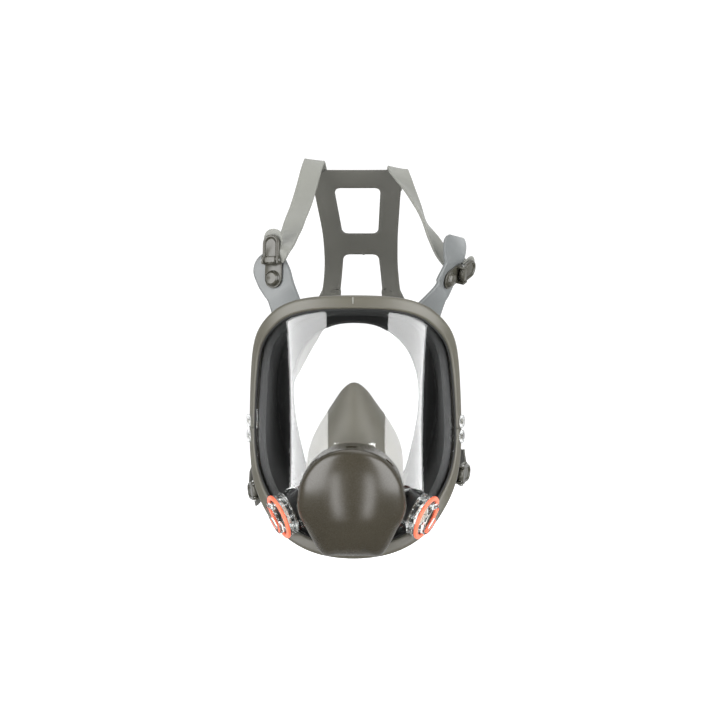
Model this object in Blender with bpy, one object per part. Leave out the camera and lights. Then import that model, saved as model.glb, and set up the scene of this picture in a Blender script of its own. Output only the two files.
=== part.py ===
"""Full face respirator with a wrap-round lens, two bayonet ports, a centre exhalation port and a head harness.

Lengths are millimetres, turned into metres as each mesh is made. +Z is up and the mask faces -Y. The origin is
the centre of the face opening, where a wearer's face meets the seal. "Left" is the -X side.
"""

import math

import bmesh
import bpy
from mathutils import Matrix, Vector

MM = 0.001
GAP = 0.3  # clearance between neighbouring pieces

# Lens: an upright elliptic cylinder, bowed back a little at its top and bottom
LENS_HALF_WIDTH = 84.0
LENS_DEPTH = 74.0
LENS_BOW_RADIUS = 420.0
LENS_THICKNESS = 2.0
LENS_STATIONS = 52
LENS_RINGS = 6
# Half of the lens edge from the brow to the chin: turn about the upright axis in degrees, height
LENS_EDGE = (
    (0, 103.4), (22, 102), (38, 97), (50, 88.5), (63, 74), (70.5, 56), (76, 25),
    (78.5, 0), (77, -18), (69.5, -38), (54, -61), (39.5, -79), (21, -91.5), (0, -95.5),
)
EAR_HEIGHTS = (5.2, -7.2)  # the two clear studs on each side of the lens
EAR_RADIUS = 5.4
EAR_STEM = 2.2

# Frame: a channel round the lens edge, in (outwards in the lens surface, out of the surface)
FRAME_SECTION = (
    (-5.2, 0.35), (-5.2, 2.0), (-4.2, 3.2), (2.5, 4.6), (4.9, 3.9), (5.6, 2.0),
    (5.6, -5.6), (4.6, -6.9), (-2.0, -6.9), (-2.0, -5.6), (0.5, -5.6), (0.5, 0.35),
)
FRAME_JOINT = -1.0  # height at which the halves meet
FRAME_JOINT_GAP = 0.35
SCREW_AT = (82.6, -4.2)

# Centre port, exhalation valve and front cover
PORT_HEIGHT = -47.0
PORT_TILT = 7.0
COLLAR_RADIUS = 34.0
COLLAR_BORE = 30.0
ADAPTER_BORE = 26.5
COVER_TILT = 20.0
COVER_FRONT = (0.0, -93.0, -54.0)
COVER_WALL = 2.0
COVER_CROWN = 17.0
COVER_MEAN_RADIUS = 42.0
COVER_REAR = (0.95, 0.86)  # the back edge's share of the outline: sideways, and upwards above the middle
# Half of the cover's outline from the top to the bottom corner, in its own plane
COVER_EDGE = (
    (0, 47.5), (16, 44.3), (30, 34.5), (39.5, 19.5), (43, 0), (41.6, -10), (37, -19.5), (24.5, -43.5), (12, -45),
    (0, -45),
)

# Inhalation ports
SIDE_PORT = (57.5, -72.0, -66.5)
SIDE_AXIS = (0.862, -0.342, -0.374)
SIDE_ROOT = (46.8, -55.0, -60.0)
SIDE_INWARD = (-0.42, 1.0, 0.12)
GASKET_RADIUS = 18.5
GASKET_BORE = 14.7
GASKET_THICKNESS = 2.4
BARREL_BORE = 11.5

# Face seal: half loops from the brow to the chin
SEAL_RIM = (
    (0, -30, 99), (32, -25, 94), (55, -4, 77), (67, 18, 45), (68.5, 28, 12), (64, 28, -18), (51, 16, -50),
    (29, -2, -78), (0, -14, -91),
)
SEAL_LIP = (
    (0, -34, 87), (22, -31, 83), (41, -18, 67), (51, 0, 42), (52, 9, 15), (47, 11, -15), (38, 4, -45),
    (23, -11, -70), (0, -22, -82),
)
SEAL_THICKNESS = 2.2

# Nose cup: half loop of the edge that rests on the face, and how far it bulges
CUP_EDGE = (
    (0, -39, 37), (9, -35, 31.5), (19, -24, 17), (30, -12, 0), (37, -6, -18), (36, -8, -38), (26, -14, -58),
    (12, -21, -69), (0, -24, -72),
)
CUP_THICKNESS = 2.0

# Head harness: a moulded elastomer sheet
STRAP_THICKNESS = 2.2
STRAP_WIDTH = 18.0
CROWN_LINE = (
    (-1.9, 84, 215), (-1.8, 91, 197), (0.1, 105, 160), (0.6, 117, 126), (0.2, 124, 96), (0, 126, 70),
)
# Rows of the crown ladder: distance from its top edge, outer and inner half widths, and whether a bar fills the row
CROWN_ROWS = (
    (0, 27, 12, True), (3, 32.5, 14, True), (9, 36.5, 16, True), (16.5, 38, 17.5, True), (18.3, 37.8, 19.3, False),
    (21.5, 37.4, 19.9, False), (34, 35.8, 18.2, False), (48, 34.1, 16.4, False), (56.5, 33.2, 15, False),
    (59, 33, 12, False), (68, 32.5, 12, True), (77.7, 32.3, 12, True), (80.5, 32.2, 14.6, False),
    (84, 32.2, 15.8, False), (96, 33, 16.2, False), (108, 34.6, 17, False), (118, 37.5, 19.2, False),
)
# Lower straps on the right: point, and the direction across the strap
LOWER_STRAP = (
    (42, 124, 78, 0.95, -0.15, 0.25), (58, 115, 48, 0.75, -0.4, 0.5), (74, 94, 8, 0.35, -0.5, 0.8),
)
# Upper straps: from inside the crown's corner over the fold and forward to the buckle: point, direction across
UPPER_STRAPS = {
    -1: (
        ((-38.5, 80, 222), (0.97, -0.2, -0.1)), ((-42, 71, 213), (0.98, 0, 0)), ((-49, 51, 184), (0.96, 0.1, 0.2)),
        ((-56, 33, 167), (0.95, 0.1, 0.15)), ((-64.5, 17, 157), (0.93, -0.1, 0.1)),
    ),
    1: (
        ((33, 80, 216), (0.97, 0.2, -0.15)), ((40, 70, 204), (0.8, 0.5, -0.2)), ((48.5, 60, 187), (0.35, 0.93, -0.1)),
        ((56, 50, 169), (0.15, 0.98, 0.1)), ((70, 43, 146), (0.3, 0.87, 0.4)), ((82, 38, 135), (-0.2, 0.5, 0.85)),
    ),
}

SIDES = {-1: "left", 1: "right"}
CREATED = {}


def clear_scene():
    for item in list(bpy.data.objects):
        bpy.data.objects.remove(item, do_unlink=True)


def material(name, colour, roughness, metallic=0.0, alpha=1.0):
    made = bpy.data.materials.new(name)
    made.use_nodes = True
    shader = made.node_tree.nodes["Principled BSDF"]
    shader.inputs["Base Color"].default_value = (*colour, 1.0)
    shader.inputs["Roughness"].default_value = roughness
    shader.inputs["Metallic"].default_value = metallic
    shader.inputs["Alpha"].default_value = alpha
    made.diffuse_color = (*colour, alpha)
    return made


def solid(name, points, faces, finish, origin=(0, 0, 0), sharp=35.0):
    """A mesh object from millimetre points; its own origin is put at the given point."""
    base = Vector(origin)
    mesh = bpy.data.meshes.new(name)
    mesh.from_pydata([(Vector(p) - base) * MM for p in points], [], faces)
    work = bmesh.new()
    work.from_mesh(mesh)
    bmesh.ops.remove_doubles(work, verts=work.verts, dist=0.002 * MM)
    bmesh.ops.recalc_face_normals(work, faces=work.faces)
    work.to_mesh(mesh)
    work.free()
    mesh.shade_smooth()
    mesh.set_sharp_from_angle(angle=math.radians(sharp))
    mesh.materials.append(finish)
    made = bpy.data.objects.new(name, mesh)
    made.location = base * MM
    bpy.context.scene.collection.objects.link(made)
    return made


def helper(made):
    """Marks a solid as a tool for a Boolean, not a piece of the object."""
    made.hide_render = True
    made.display_type = "WIRE"
    return made


def combine(made, other, operation, solver="EXACT"):
    boolean = made.modifiers.new(other.name, "BOOLEAN")
    boolean.operation = operation
    boolean.solver = solver
    boolean.object = helper(other)
    return made


def bridge(rings, closed=True, loop=False):
    """Quads between rings of equal length; loop joins the last ring to the first."""
    size = len(rings[0])
    points = [p for ring in rings for p in ring]
    faces = []
    pairs = len(rings) if loop else len(rings) - 1
    for row in range(pairs):
        below, above = row * size, (row + 1) % len(rings) * size
        for i in range(size if closed else size - 1):
            j = (i + 1) % size
            faces.append((below + i, below + j, above + j, above + i))
    return points, faces


def capped(rings):
    """A tube of rings with a flat face on each end."""
    points, faces = bridge(rings)
    size = len(rings[0])
    faces.append(tuple(range(size))[::-1])
    faces.append(tuple(range(len(points) - size, len(points))))
    return points, faces


def smooth_path(controls, steps):
    """Catmull-Rom through the controls, with the given number of steps between neighbours."""
    held = [Vector(c) for c in controls]
    held = [held[0] * 2 - held[1], *held, held[-1] * 2 - held[-2]]
    path = []
    for a, b, c, d in zip(held, held[1:], held[2:], held[3:]):
        for k in range(steps):
            t = k / steps
            path.append(
                0.5 * (2 * b + (c - a) * t + (2 * a - 5 * b + 4 * c - d) * t**2 + (3 * b - a - 3 * c + d) * t**3)
            )
    path.append(held[-2])
    return path


def mirrored_loop(half, count):
    """An evenly spaced closed loop from a half outline whose first and last points lie on the middle plane."""
    right = [Vector(p) for p in half]
    left = [Vector((-p[0], *p[1:])) for p in right[-2:0:-1]]
    ring = right + left
    wrapped = [ring[-1], *ring, ring[0], ring[1]]
    dense = smooth_path(wrapped, 16)[16:-16]
    lengths = [0.0]
    for a, b in zip(dense, dense[1:]):
        lengths.append(lengths[-1] + (b - a).length)
    even, at = [], 0
    for i in range(count):
        wanted = lengths[-1] * i / count
        while lengths[at + 1] < wanted:
            at += 1
        share = (wanted - lengths[at]) / (lengths[at + 1] - lengths[at])
        even.append(dense[at].lerp(dense[at + 1], share))
    return even


def lens_point(turn, height, out=0.0):
    """A point on the lens's outer surface, moved out of it along its normal."""
    depth = LENS_DEPTH - height**2 / (2 * LENS_BOW_RADIUS)
    x = LENS_HALF_WIDTH * math.sin(turn)
    y = -depth * math.cos(turn)
    normal = Vector((x / LENS_HALF_WIDTH**2, y / depth**2, y**2 * height / (depth**3 * LENS_BOW_RADIUS)))
    return Vector((x, y, height)) + normal.normalized() * out


def lens_normal(turn, height):
    return (lens_point(turn, height, 1.0) - lens_point(turn, height)).normalized()


def edge_loop(count=LENS_STATIONS):
    """The lens edge as (turn in radians, height) pairs, evenly spaced along the real edge."""
    scale = LENS_HALF_WIDTH * math.pi / 180
    flat = mirrored_loop([(turn * scale, height, 0) for turn, height in LENS_EDGE], count)
    return [(p[0] / LENS_HALF_WIDTH, p[1]) for p in flat]


def edge_frames():
    """At each station of the lens edge: the point, the direction outwards in the surface, and the normal."""
    loop = edge_loop()
    points = [lens_point(*station) for station in loop]
    frames = []
    for i, station in enumerate(loop):
        along = (points[(i + 1) % len(loop)] - points[i - 1]).normalized()
        normal = lens_normal(*station)
        frames.append((points[i], along.cross(normal).normalized() * -1, normal))
    if frames[0][1].z < 0:
        frames = [(p, -b, n) for p, b, n in frames]
    return frames


def turned(name, profile, matrix, finish, steps=32, origin=None, closed=True):
    """A solid of revolution: (radius, height) points turned about the matrix's local Z."""
    rings = []
    for k in range(steps):
        angle = 2 * math.pi * k / steps
        rings.append([matrix @ Vector((r * math.cos(angle), r * math.sin(angle), h)) for r, h in profile])
    points, faces = bridge(rings, closed=closed, loop=True)
    return solid(name, points, faces, finish, origin or matrix.translation)


def tube(name, outer, inner, low, high, matrix, finish, steps=32):
    """A straight ring; an inner radius of zero makes a plain disc."""
    if inner:
        profile = ((inner, low), (outer, low), (outer, high), (inner, high))
        return turned(name, profile, matrix, finish, steps)
    ring = [(outer * math.cos(2 * math.pi * k / steps), outer * math.sin(2 * math.pi * k / steps)) for k in range(steps)]
    rings = [[matrix @ Vector((x, y, h)) for x, y in ring] for h in (low, high)]
    points, faces = capped(rings)
    return solid(name, points, faces, finish, matrix.translation)


def block(name, low, high, matrix, finish, origin=None):
    """A box between two corners given in the matrix's frame."""
    ring = ((low[0], low[1]), (high[0], low[1]), (high[0], high[1]), (low[0], high[1]))
    rings = [[matrix @ Vector((x, y, z)) for x, y in ring] for z in (low[2], high[2])]
    points, faces = capped(rings)
    return solid(name, points, faces, finish, origin or matrix.translation)


def placed(point, axis, up=(0, 0, 1)):
    """A frame at the point whose Z is the axis and whose Y is as near to up as it can be."""
    z = Vector(axis).normalized()
    x = Vector(up).cross(z).normalized()
    y = z.cross(x)
    return Matrix.Translation(Vector(point)) @ Matrix((x, y, z)).transposed().to_4x4()


def tilted_axis(degrees):
    turn = math.radians(degrees)
    return Vector((0, -math.cos(turn), -math.sin(turn)))


def port_frame():
    """The centre port: its origin on the lens, its Z out of the mask."""
    return placed(lens_point(0, PORT_HEIGHT), tilted_axis(PORT_TILT))


def side_frame(side):
    """A side port: its origin at the centre of the gasket's inner face, its Z out of the mask."""
    point = (SIDE_PORT[0] * side, SIDE_PORT[1], SIDE_PORT[2])
    return placed(point, (SIDE_AXIS[0] * side, SIDE_AXIS[1], SIDE_AXIS[2]))


def lens_sheet(name, finish, front, back):
    """A sheet over the whole lens outline between two offsets from its outer surface."""
    loop = edge_loop()
    layers = []
    for out in (front, back):
        rings = []
        for k in range(LENS_RINGS, 0, -1):
            share = k / LENS_RINGS
            rings.append([lens_point(turn * share, height * share, out) for turn, height in loop])
        layers.append(rings)
    rings = layers[1][::-1] + layers[0]
    points, faces = bridge(rings)
    size = len(loop)
    for middle, first in ((lens_point(0, 0, back), 0), (lens_point(0, 0, front), len(points) - size)):
        points.append(middle)
        faces += [(len(points) - 1, first + i, first + (i + 1) % size) for i in range(size)]
    return solid(name, points, faces, finish)


def lens_core():
    """Everything behind the lens, for trimming what is moulded onto its front."""
    loop = edge_loop(48)
    near = [lens_point(turn * 1.02, height * 1.05, -LENS_THICKNESS * 0.6) for turn, height in loop]
    rings = [[Vector((p.x * 0.9, 60, p.z * 0.9)) for p in near], near]
    for share in (0.8, 0.6, 0.4, 0.2):
        rings.append([lens_point(t * share * 1.02, h * share * 1.05, -LENS_THICKNESS * 0.6) for t, h in loop])
    points, faces = bridge(rings)
    faces.append(tuple(range(len(loop))))
    last = len(points) - len(loop)
    points.append(lens_point(0, 0, -LENS_THICKNESS * 0.6))
    faces += [(len(points) - 1, last + i, last + (i + 1) % len(loop)) for i in range(len(loop))]
    return solid("lens_core", points, faces, CREATED["clear"])


def ring_of(place, radius, lift, steps=24):
    turns = (2 * math.pi * k / steps for k in range(steps))
    return [place @ Vector((radius * math.cos(a), radius * math.sin(a), lift)) for a in turns]


def hull(name, points, finish):
    """The smallest solid with no hollows that holds the points."""
    work = bmesh.new()
    for point in points:
        work.verts.new(point)
    bmesh.ops.convex_hull(work, input=work.verts)
    loose = [v for v in work.verts if not v.link_faces]
    bmesh.ops.delete(work, geom=loose, context="VERTS")
    work.verts.index_update()
    corners = [v.co.copy() for v in work.verts]
    faces = [[v.index for v in face.verts] for face in work.faces]
    work.free()
    return solid(name, corners, faces, finish)


def side_root(side, depth):
    """The frame where a side port's moulding meets the lens, moved into the mask by the given depth."""
    inward = Vector((SIDE_INWARD[0] * side, SIDE_INWARD[1], SIDE_INWARD[2])).normalized()
    root = Vector((SIDE_ROOT[0] * side, SIDE_ROOT[1], SIDE_ROOT[2]))
    return placed(root + inward * depth, -inward)


def neck(side):
    """The moulding that carries a side port: it leaves the lens square and turns to the port's own axis."""
    clear = CREATED["clear"]
    frame = side_frame(side)
    body = hull(f"neck_{side}", ring_of(side_root(side, 12), 14.6, 0) + ring_of(frame, 15.1, -5.0), clear)
    profile = (
        (0, -8.0), (17.6, -8.0), (17.6, -6.6), (15.8, -6.2), (15.8, -2.6), (17.8, -2.2), (17.8, -GAP),
        (12.6, -GAP), (12.6, 6.2), (0, 6.2),
    )
    barrel = turned(f"barrel_{side}", profile, frame, clear, 28, closed=False)
    combine(body, barrel, "UNION")
    for k in range(3):
        lug_frame = frame @ Matrix.Rotation(math.radians(120 * k + 90), 4, "Z")
        lug = block(f"lug_{side}_{k}", (9.0, -5.0, 3.6), (13.4, 5.0, 5.8), lug_frame, clear)
        combine(body, lug, "UNION")
    return body


def bore_cutter(side):
    """The side port's air way, which bends with the moulding."""
    frame = side_frame(side)
    way = hull(f"bore_{side}", ring_of(side_root(side, 26), 12.0, 0) + ring_of(frame, 11.2, -5.4), CREATED["clear"])
    mouth = tube(f"mouth_{side}", BARREL_BORE, 0, -7.1, 20.0, frame, CREATED["clear"])
    return combine(way, mouth, "UNION")


def build_lens():
    clear = CREATED["clear"]
    lens = lens_sheet("lens", clear, 0.0, -LENS_THICKNESS)
    core = lens_core()
    collar = tube("collar", COLLAR_RADIUS, 0, -16, 2.0, port_frame(), clear, 36)
    combine(collar, core, "DIFFERENCE")
    combine(lens, collar, "UNION")
    for side in (-1, 1):
        moulding = neck(side)
        combine(moulding, core, "DIFFERENCE")
        combine(lens, moulding, "UNION")
        for height in EAR_HEIGHTS:
            turn = math.radians(77.5) * side
            ear_frame = placed(lens_point(turn, height, -1.0), lens_normal(turn, height))
            profile = (
                (0, 0), (EAR_STEM, 0), (EAR_STEM, 6.0), (EAR_RADIUS, 6.0), (EAR_RADIUS, 7.4), (EAR_RADIUS - 1, 8.0),
                (0, 8.0),
            )
            ear = turned(f"ear_{side}_{height}", profile, ear_frame, clear, 14, closed=False)
            combine(lens, ear, "UNION")
    combine(lens, tube("collar_bore", COLLAR_BORE, 0, -30, 20, port_frame(), clear, 36), "DIFFERENCE")
    for side in (-1, 1):
        combine(lens, bore_cutter(side), "DIFFERENCE")


def frame_half(name, stations):
    frames = edge_frames()
    rings = []
    for i in stations:
        point, outwards, normal = frames[i % len(frames)]
        rings.append([point + outwards * b + normal * n for b, n in FRAME_SECTION])
    points, faces = capped(rings)
    return solid(name, points, faces, CREATED["frame_plastic"])


def build_frame():
    """Two halves of the channel, which meet at the temples where the lens ears are."""
    frames = edge_frames()
    count = len(frames)
    heights = [frame[0].z for frame in frames]
    joint = min(range(count // 2), key=lambda i: abs(heights[i] - FRAME_JOINT))
    upper = frame_half("upper_frame", range(-joint, joint + 1))
    lower = frame_half("lower_frame", range(joint, count - joint + 1))
    seam = FRAME_JOINT_GAP / 2
    cut_low = block("cut_below", (-120, -120, -200), (120, 120, FRAME_JOINT + seam), Matrix(), CREATED["clear"])
    cut_high = block("cut_above", (-120, -120, FRAME_JOINT - seam), (120, 120, 200), Matrix(), CREATED["clear"])
    combine(upper, cut_low, "DIFFERENCE")
    combine(lower, cut_high, "DIFFERENCE")
    for side in (-1, 1):
        screw = Matrix.Translation((SCREW_AT[0] * side, SCREW_AT[1], FRAME_JOINT))
        for half, low, high in ((upper, FRAME_JOINT_GAP / 2, 8.0), (lower, -8.0, -FRAME_JOINT_GAP / 2)):
            lug = block(f"frame_lug_{side}_{low}", (-4.0, -6.0, low), (4.0, 4.5, high), screw, CREATED["clear"])
            combine(half, lug, "UNION")
            combine(half, tube(f"screw_hole_{side}_{low}", 1.9, 0, -20, 20, screw, CREATED["clear"], 16), "DIFFERENCE")
        profile = (
            (0, -10.4), (3.2, -10.4), (3.2, -8.3), (1.55, -8.3), (1.55, 8.3), (3.4, 8.3), (3.4, 9.6), (2.6, 10.4),
            (0, 10.4),
        )
        turned(f"frame_screw_{SIDES[side]}", profile, screw, CREATED["steel"], 20, closed=False)
    for side in (-1, 1):
        for height in EAR_HEIGHTS:
            turn = math.radians(77.5) * side
            ear_frame = placed(lens_point(turn, height, -1.0), lens_normal(turn, height))
            hole = tube(f"ear_hole_{side}_{height}", EAR_STEM + GAP, 0, -0.9, 9.0, ear_frame, CREATED["clear"], 16)
            combine(upper if height > 0 else lower, hole, "DIFFERENCE")


def section_loft(name, sections, finish):
    """A closed ring whose cross-section is a closed polygon that varies round the ring."""
    points, faces = bridge(sections, loop=True)
    return solid(name, points, faces, finish, sharp=50.0)


def thick_path(path, across, thickness):
    """A closed polygon round an open path: the path moved half the thickness to each side."""
    upper, lower = [], []
    for i, point in enumerate(path):
        along = (path[min(i + 1, len(path) - 1)] - path[max(i - 1, 0)]).normalized()
        side = along.cross(across).normalized() * (thickness / 2)
        upper.append(point + side)
        lower.append(point - side)
    return upper + lower[::-1]


def seal_sections(count=LENS_STATIONS):
    """Cross-sections of the face seal: from the clamped flange, back round the rim and in to the lip."""
    frames = edge_frames()
    rims = mirrored_loop(SEAL_RIM, count)
    lips = mirrored_loop(SEAL_LIP, count)
    sections = []
    for i, (point, outwards, normal) in enumerate(frames):
        rim, lip = rims[i], lips[i]
        flange = [point + outwards * b + normal * n for b, n in ((-0.2, -4.1), (-5.2, -4.1), (-8.0, -7.2))]
        fold = rim.lerp(lip, 0.45) + Vector((0, 6.0, 0))
        waist = flange[-1].lerp(rim, 0.5) + (Vector((0, 0, 0)) - flange[-1]).normalized() * 1.5
        path = [*flange[:2], *smooth_path((flange[2], waist, rim, fold, lip), 2)]
        across = (frames[(i + 1) % count][0] - frames[i - 1][0]).normalized()
        sections.append(thick_path(path, across, SEAL_THICKNESS))
    return sections


def ribbon(name, path, acrosses, widths, thickness, finish):
    """A strap along a path: at each point the direction across it and its width."""
    rings = []
    for i, (point, across, width) in enumerate(zip(path, acrosses, widths)):
        along = (path[min(i + 1, len(path) - 1)] - path[max(i - 1, 0)]).normalized()
        side = (across - along * across.dot(along)).normalized()
        out = side.cross(along).normalized() * (thickness / 2)
        half = side * (width / 2)
        rings.append([point - half - out, point + half - out, point + half + out, point - half + out])
    points, faces = capped(rings)
    return solid(name, points, faces, finish)


def smooth_ribbon(name, stations, thickness, finish, steps=4):
    """A ribbon through (point, across, width) stations, with all three eased between them."""
    path = smooth_path([point for point, _, _ in stations], steps)
    acrosses = smooth_path([Vector(across).normalized() for _, across, _ in stations], steps)
    widths = [w.x for w in smooth_path([(width, 0, 0) for _, _, width in stations], steps)]
    return ribbon(name, path, acrosses, widths, thickness, finish)


class Buckle:
    """Where a buckle sits: its stud's seat on the ear tab, the tab's outward normal, and the way the buckle points."""

    def __init__(self, name, seat, outward, up, tab_up):
        self.name = name
        self.seat = Vector(seat)
        z = Vector(outward).normalized()
        self.matrix = placed(seat, z, up)
        self.tab = placed(seat, z, tab_up)


BUCKLES = (
    Buckle("upper_left", (-68.5, 9.5, 121.5), (-0.42, -0.9, 0.1), (0.02, 0.1, 1), (-0.42, 0.25, 0.87)),
    Buckle("upper_right", (76, 9.5, 121), (0.88, -0.42, -0.2), (0.4, 0.84, 0.36), (0.36, 0.42, 0.83)),
    Buckle("lower_left", (-78.5, 35, -58), (-0.94, -0.3, -0.1), (-0.12, 0.98, -0.1), (-0.12, 0.98, -0.1)),
    Buckle("lower_right", (78, 35, -46), (0.94, -0.3, -0.1), (0.12, 0.98, 0.05), (0.12, 0.98, 0.05)),
)
TAB_THICKNESS = 2.4
PIN_UP = 15.0
PIN_OUT = 6.4


def ear_tab(buckle, base, spread, width, finish):
    """A flat tab of the seal that runs from its rim to past the buckle's stud, with a rounded end."""
    frame = buckle.tab
    middle = Vector((0, 0, -TAB_THICKNESS / 2))
    side = frame.to_3x3() @ Vector((1, 0, 0))
    stations = [
        (Vector(base), spread, width * 0.95),
        (frame @ (middle + Vector((0, -17, 0))), side, width * 0.86),
        (frame @ (middle + Vector((0, -8, 0))), side, width * 0.92),
        (frame @ middle, side, width),
        (frame @ (middle + Vector((0, 9, 0))), side, width),
        (frame @ (middle + Vector((0, 16, 0))), side, width * 0.9),
        (frame @ (middle + Vector((0, 21.5, 0))), side, width * 0.62),
        (frame @ (middle + Vector((0, 24, 0))), side, width * 0.25),
    ]
    return smooth_ribbon(f"tab_{buckle.name}", stations, TAB_THICKNESS, finish, 3)


def build_seal():
    rubber = CREATED["seal_rubber"]
    seal = section_loft("faceseal", seal_sections(), rubber)
    bases = {
        "upper_left": ((-51, -8, 80), (0.86, -0.35, 0.4)),
        "upper_right": ((51, -8, 80), (0.8, 0.35, -0.5)),
        "lower_left": ((-55, 20, -44), (0.25, 0.1, 0.95)),
        "lower_right": ((57, 21, -38), (0.25, -0.1, -0.95)),
    }
    for buckle in BUCKLES:
        base, spread = bases[buckle.name]
        width = 31.0 if "upper" in buckle.name else 24.0
        combine(seal, ear_tab(buckle, base, spread, width, rubber), "UNION")
    for buckle in BUCKLES:
        combine(seal, tube(f"stud_hole_{buckle.name}", 2.9, 0, -6, 4, buckle.matrix, rubber, 16), "DIFFERENCE")


def build_buckles():
    plastic = CREATED["buckle_plastic"]
    for buckle in BUCKLES:
        matrix, name = buckle.matrix, buckle.name
        back = -TAB_THICKNESS - GAP
        stud_profile = (
            (0, back - 1.6), (5.4, back - 1.6), (6.0, back - 0.8), (6.0, back), (2.5, back), (2.5, 2.6),
            (5.7, 2.6), (5.7, 4.2), (4.4, 5.6), (0, 6.3),
        )
        turned(f"buckle_stud_{name}", stud_profile, matrix, plastic, 18, closed=False)
        base = block(f"buckle_base_{name}", (-7.8, -7.5, GAP), (7.8, 20.0, 2.2), matrix, plastic)
        for side in (-1, 1):
            near, far = sorted((7.9 * side, 5.9 * side))
            lug = block(f"lug_{name}_{side}", (near, 11.5, 1.0), (far, 18.5, 9.4), matrix, plastic)
            combine(base, lug, "UNION")
        combine(base, tube(f"base_hole_{name}", 2.9, 0, -2, 5, matrix, plastic, 16), "DIFFERENCE")
        across = matrix @ placed((0, PIN_UP, PIN_OUT), (1, 0, 0))
        combine(base, tube(f"pin_hole_{name}", 1.5, 0, -14, 14, across, plastic, 16), "DIFFERENCE")
        tube(f"buckle_pin_{name}", 1.2, 0, -8.6, 8.6, across, CREATED["steel"], 16)
        build_lever(buckle, across, plastic)


def build_lever(buckle, across, plastic):
    """The clamping lever: a long loop hinged on the pin, with its slot for the strap."""
    matrix, name = buckle.matrix, buckle.name
    outline = [(-5.4, 11.6), (5.4, 11.6), (5.4, 19.5)]
    outline += [(7.4 * math.cos(a), 27 + 9.0 * math.sin(a)) for a in (math.pi * k / 8 for k in range(9))]
    outline.append((-5.4, 19.5))
    rings = [[matrix @ Vector((x, y, z)) for x, y in outline] for z in (4.4, 8.4)]
    points, faces = capped(rings)
    lever = solid(f"buckle_lever_{name}", points, faces, plastic, matrix @ Vector((0, PIN_UP, PIN_OUT)))
    slot = block(f"lever_slot_{name}", (-4.0, 21.5, 0), (4.0, 26.5, 14), matrix, plastic)
    combine(lever, slot, "DIFFERENCE")
    combine(lever, tube(f"lever_hole_{name}", 1.5, 0, -14, 14, across, plastic, 16), "DIFFERENCE")


def spoked_ring(name, outer, inner, low, high, spokes, matrix, finish):
    """A valve seat: a ring with a hub held by spokes."""
    ring = tube(name, outer, inner, low, high, matrix, finish)
    middle = (low + high) / 2
    hub = tube(f"hub_{name}", inner * 0.22, 0, low + 0.1, high - 0.1, matrix, finish, 16)
    for k in range(spokes):
        arm = matrix @ Matrix.Rotation(2 * math.pi * k / spokes, 4, "Z")
        bar = block(f"spoke_{name}_{k}", (0, -0.7, middle - 0.5), (inner + 0.8, 0.7, middle + 0.5), arm, finish)
        combine(hub, bar, "UNION")
    return combine(ring, hub, "UNION")


def build_side_ports():
    for side in (-1, 1):
        frame = side_frame(side)
        label = SIDES[side]
        gasket = ((GASKET_BORE, 0), (GASKET_RADIUS, 0), (GASKET_RADIUS, GASKET_THICKNESS), (GASKET_BORE, GASKET_THICKNESS))
        turned(f"inhalation_gasket_{label}", gasket, frame, CREATED["gasket_rubber"], 40)
        spoked_ring(
            f"inhalation_seat_{label}", BARREL_BORE - GAP, 9.0, -3.6, -1.8, 3, frame, CREATED["clear"]
        )
        tube(f"inhalation_valve_{label}", 9.9, 0, -4.8, -3.6 - GAP, frame, CREATED["valve_silicone"], 24)


def build_centre_port():
    frame = port_frame()
    adapter = (
        (ADAPTER_BORE, -16.0), (COLLAR_BORE - GAP, -16.0), (COLLAR_BORE - GAP, 2.0 + GAP), (36.5, 2.0 + GAP),
        (36.5, 5.0), (ADAPTER_BORE + 3, 5.0), (ADAPTER_BORE + 3, 8.0), (ADAPTER_BORE, 8.0),
    )
    turned("centre_adapter", adapter, frame, CREATED["cover_plastic"], 40)
    spoked_ring("exhalation_seat", ADAPTER_BORE - GAP, 20.0, 2.5, 5.0, 4, frame, CREATED["cover_plastic"])
    tube("exhalation_valve", 21.5, 0, 5.0 + GAP, 6.3, frame, CREATED["valve_silicone"], 32)


def cover_rings(inset):
    """The front cover's outline at its back edge, its front edge and over its crown."""
    half = [(x - inset * (x > 0), v - inset * math.copysign(1, v), 0) for x, v in COVER_EDGE]
    outline = mirrored_loop([(max(x, 0), v, 0) for x, v, _ in half], 40)
    back = placed(port_frame() @ Vector((0, 0, 2.6)), tilted_axis(PORT_TILT))
    front = placed(COVER_FRONT, tilted_axis(COVER_TILT))
    rear = [back @ Vector((p.x * COVER_REAR[0], p.y * (COVER_REAR[1] if p.y > 0 else 1.0), 0)) for p in outline]
    forward = [front @ Vector((p.x, p.y, -inset)) for p in outline]
    rings = [rear, [a.lerp(b, 0.5) for a, b in zip(rear, forward)], forward]
    centre = Vector((0, -6, 0))
    for share in (0.97, 0.9, 0.78, 0.6, 0.38, 0.16):
        lift = Vector((0, 0, COVER_CROWN * (1 - share**2) ** 0.6 - inset))
        spread = []
        for p in outline:
            reach = p - centre
            eased = reach.lerp(reach.normalized() * COVER_MEAN_RADIUS, 1 - share)
            spread.append(front @ (centre + eased * share + lift))
        rings.append(spread)
    return rings, front @ Vector((0, centre.y, COVER_CROWN - inset))


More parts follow.
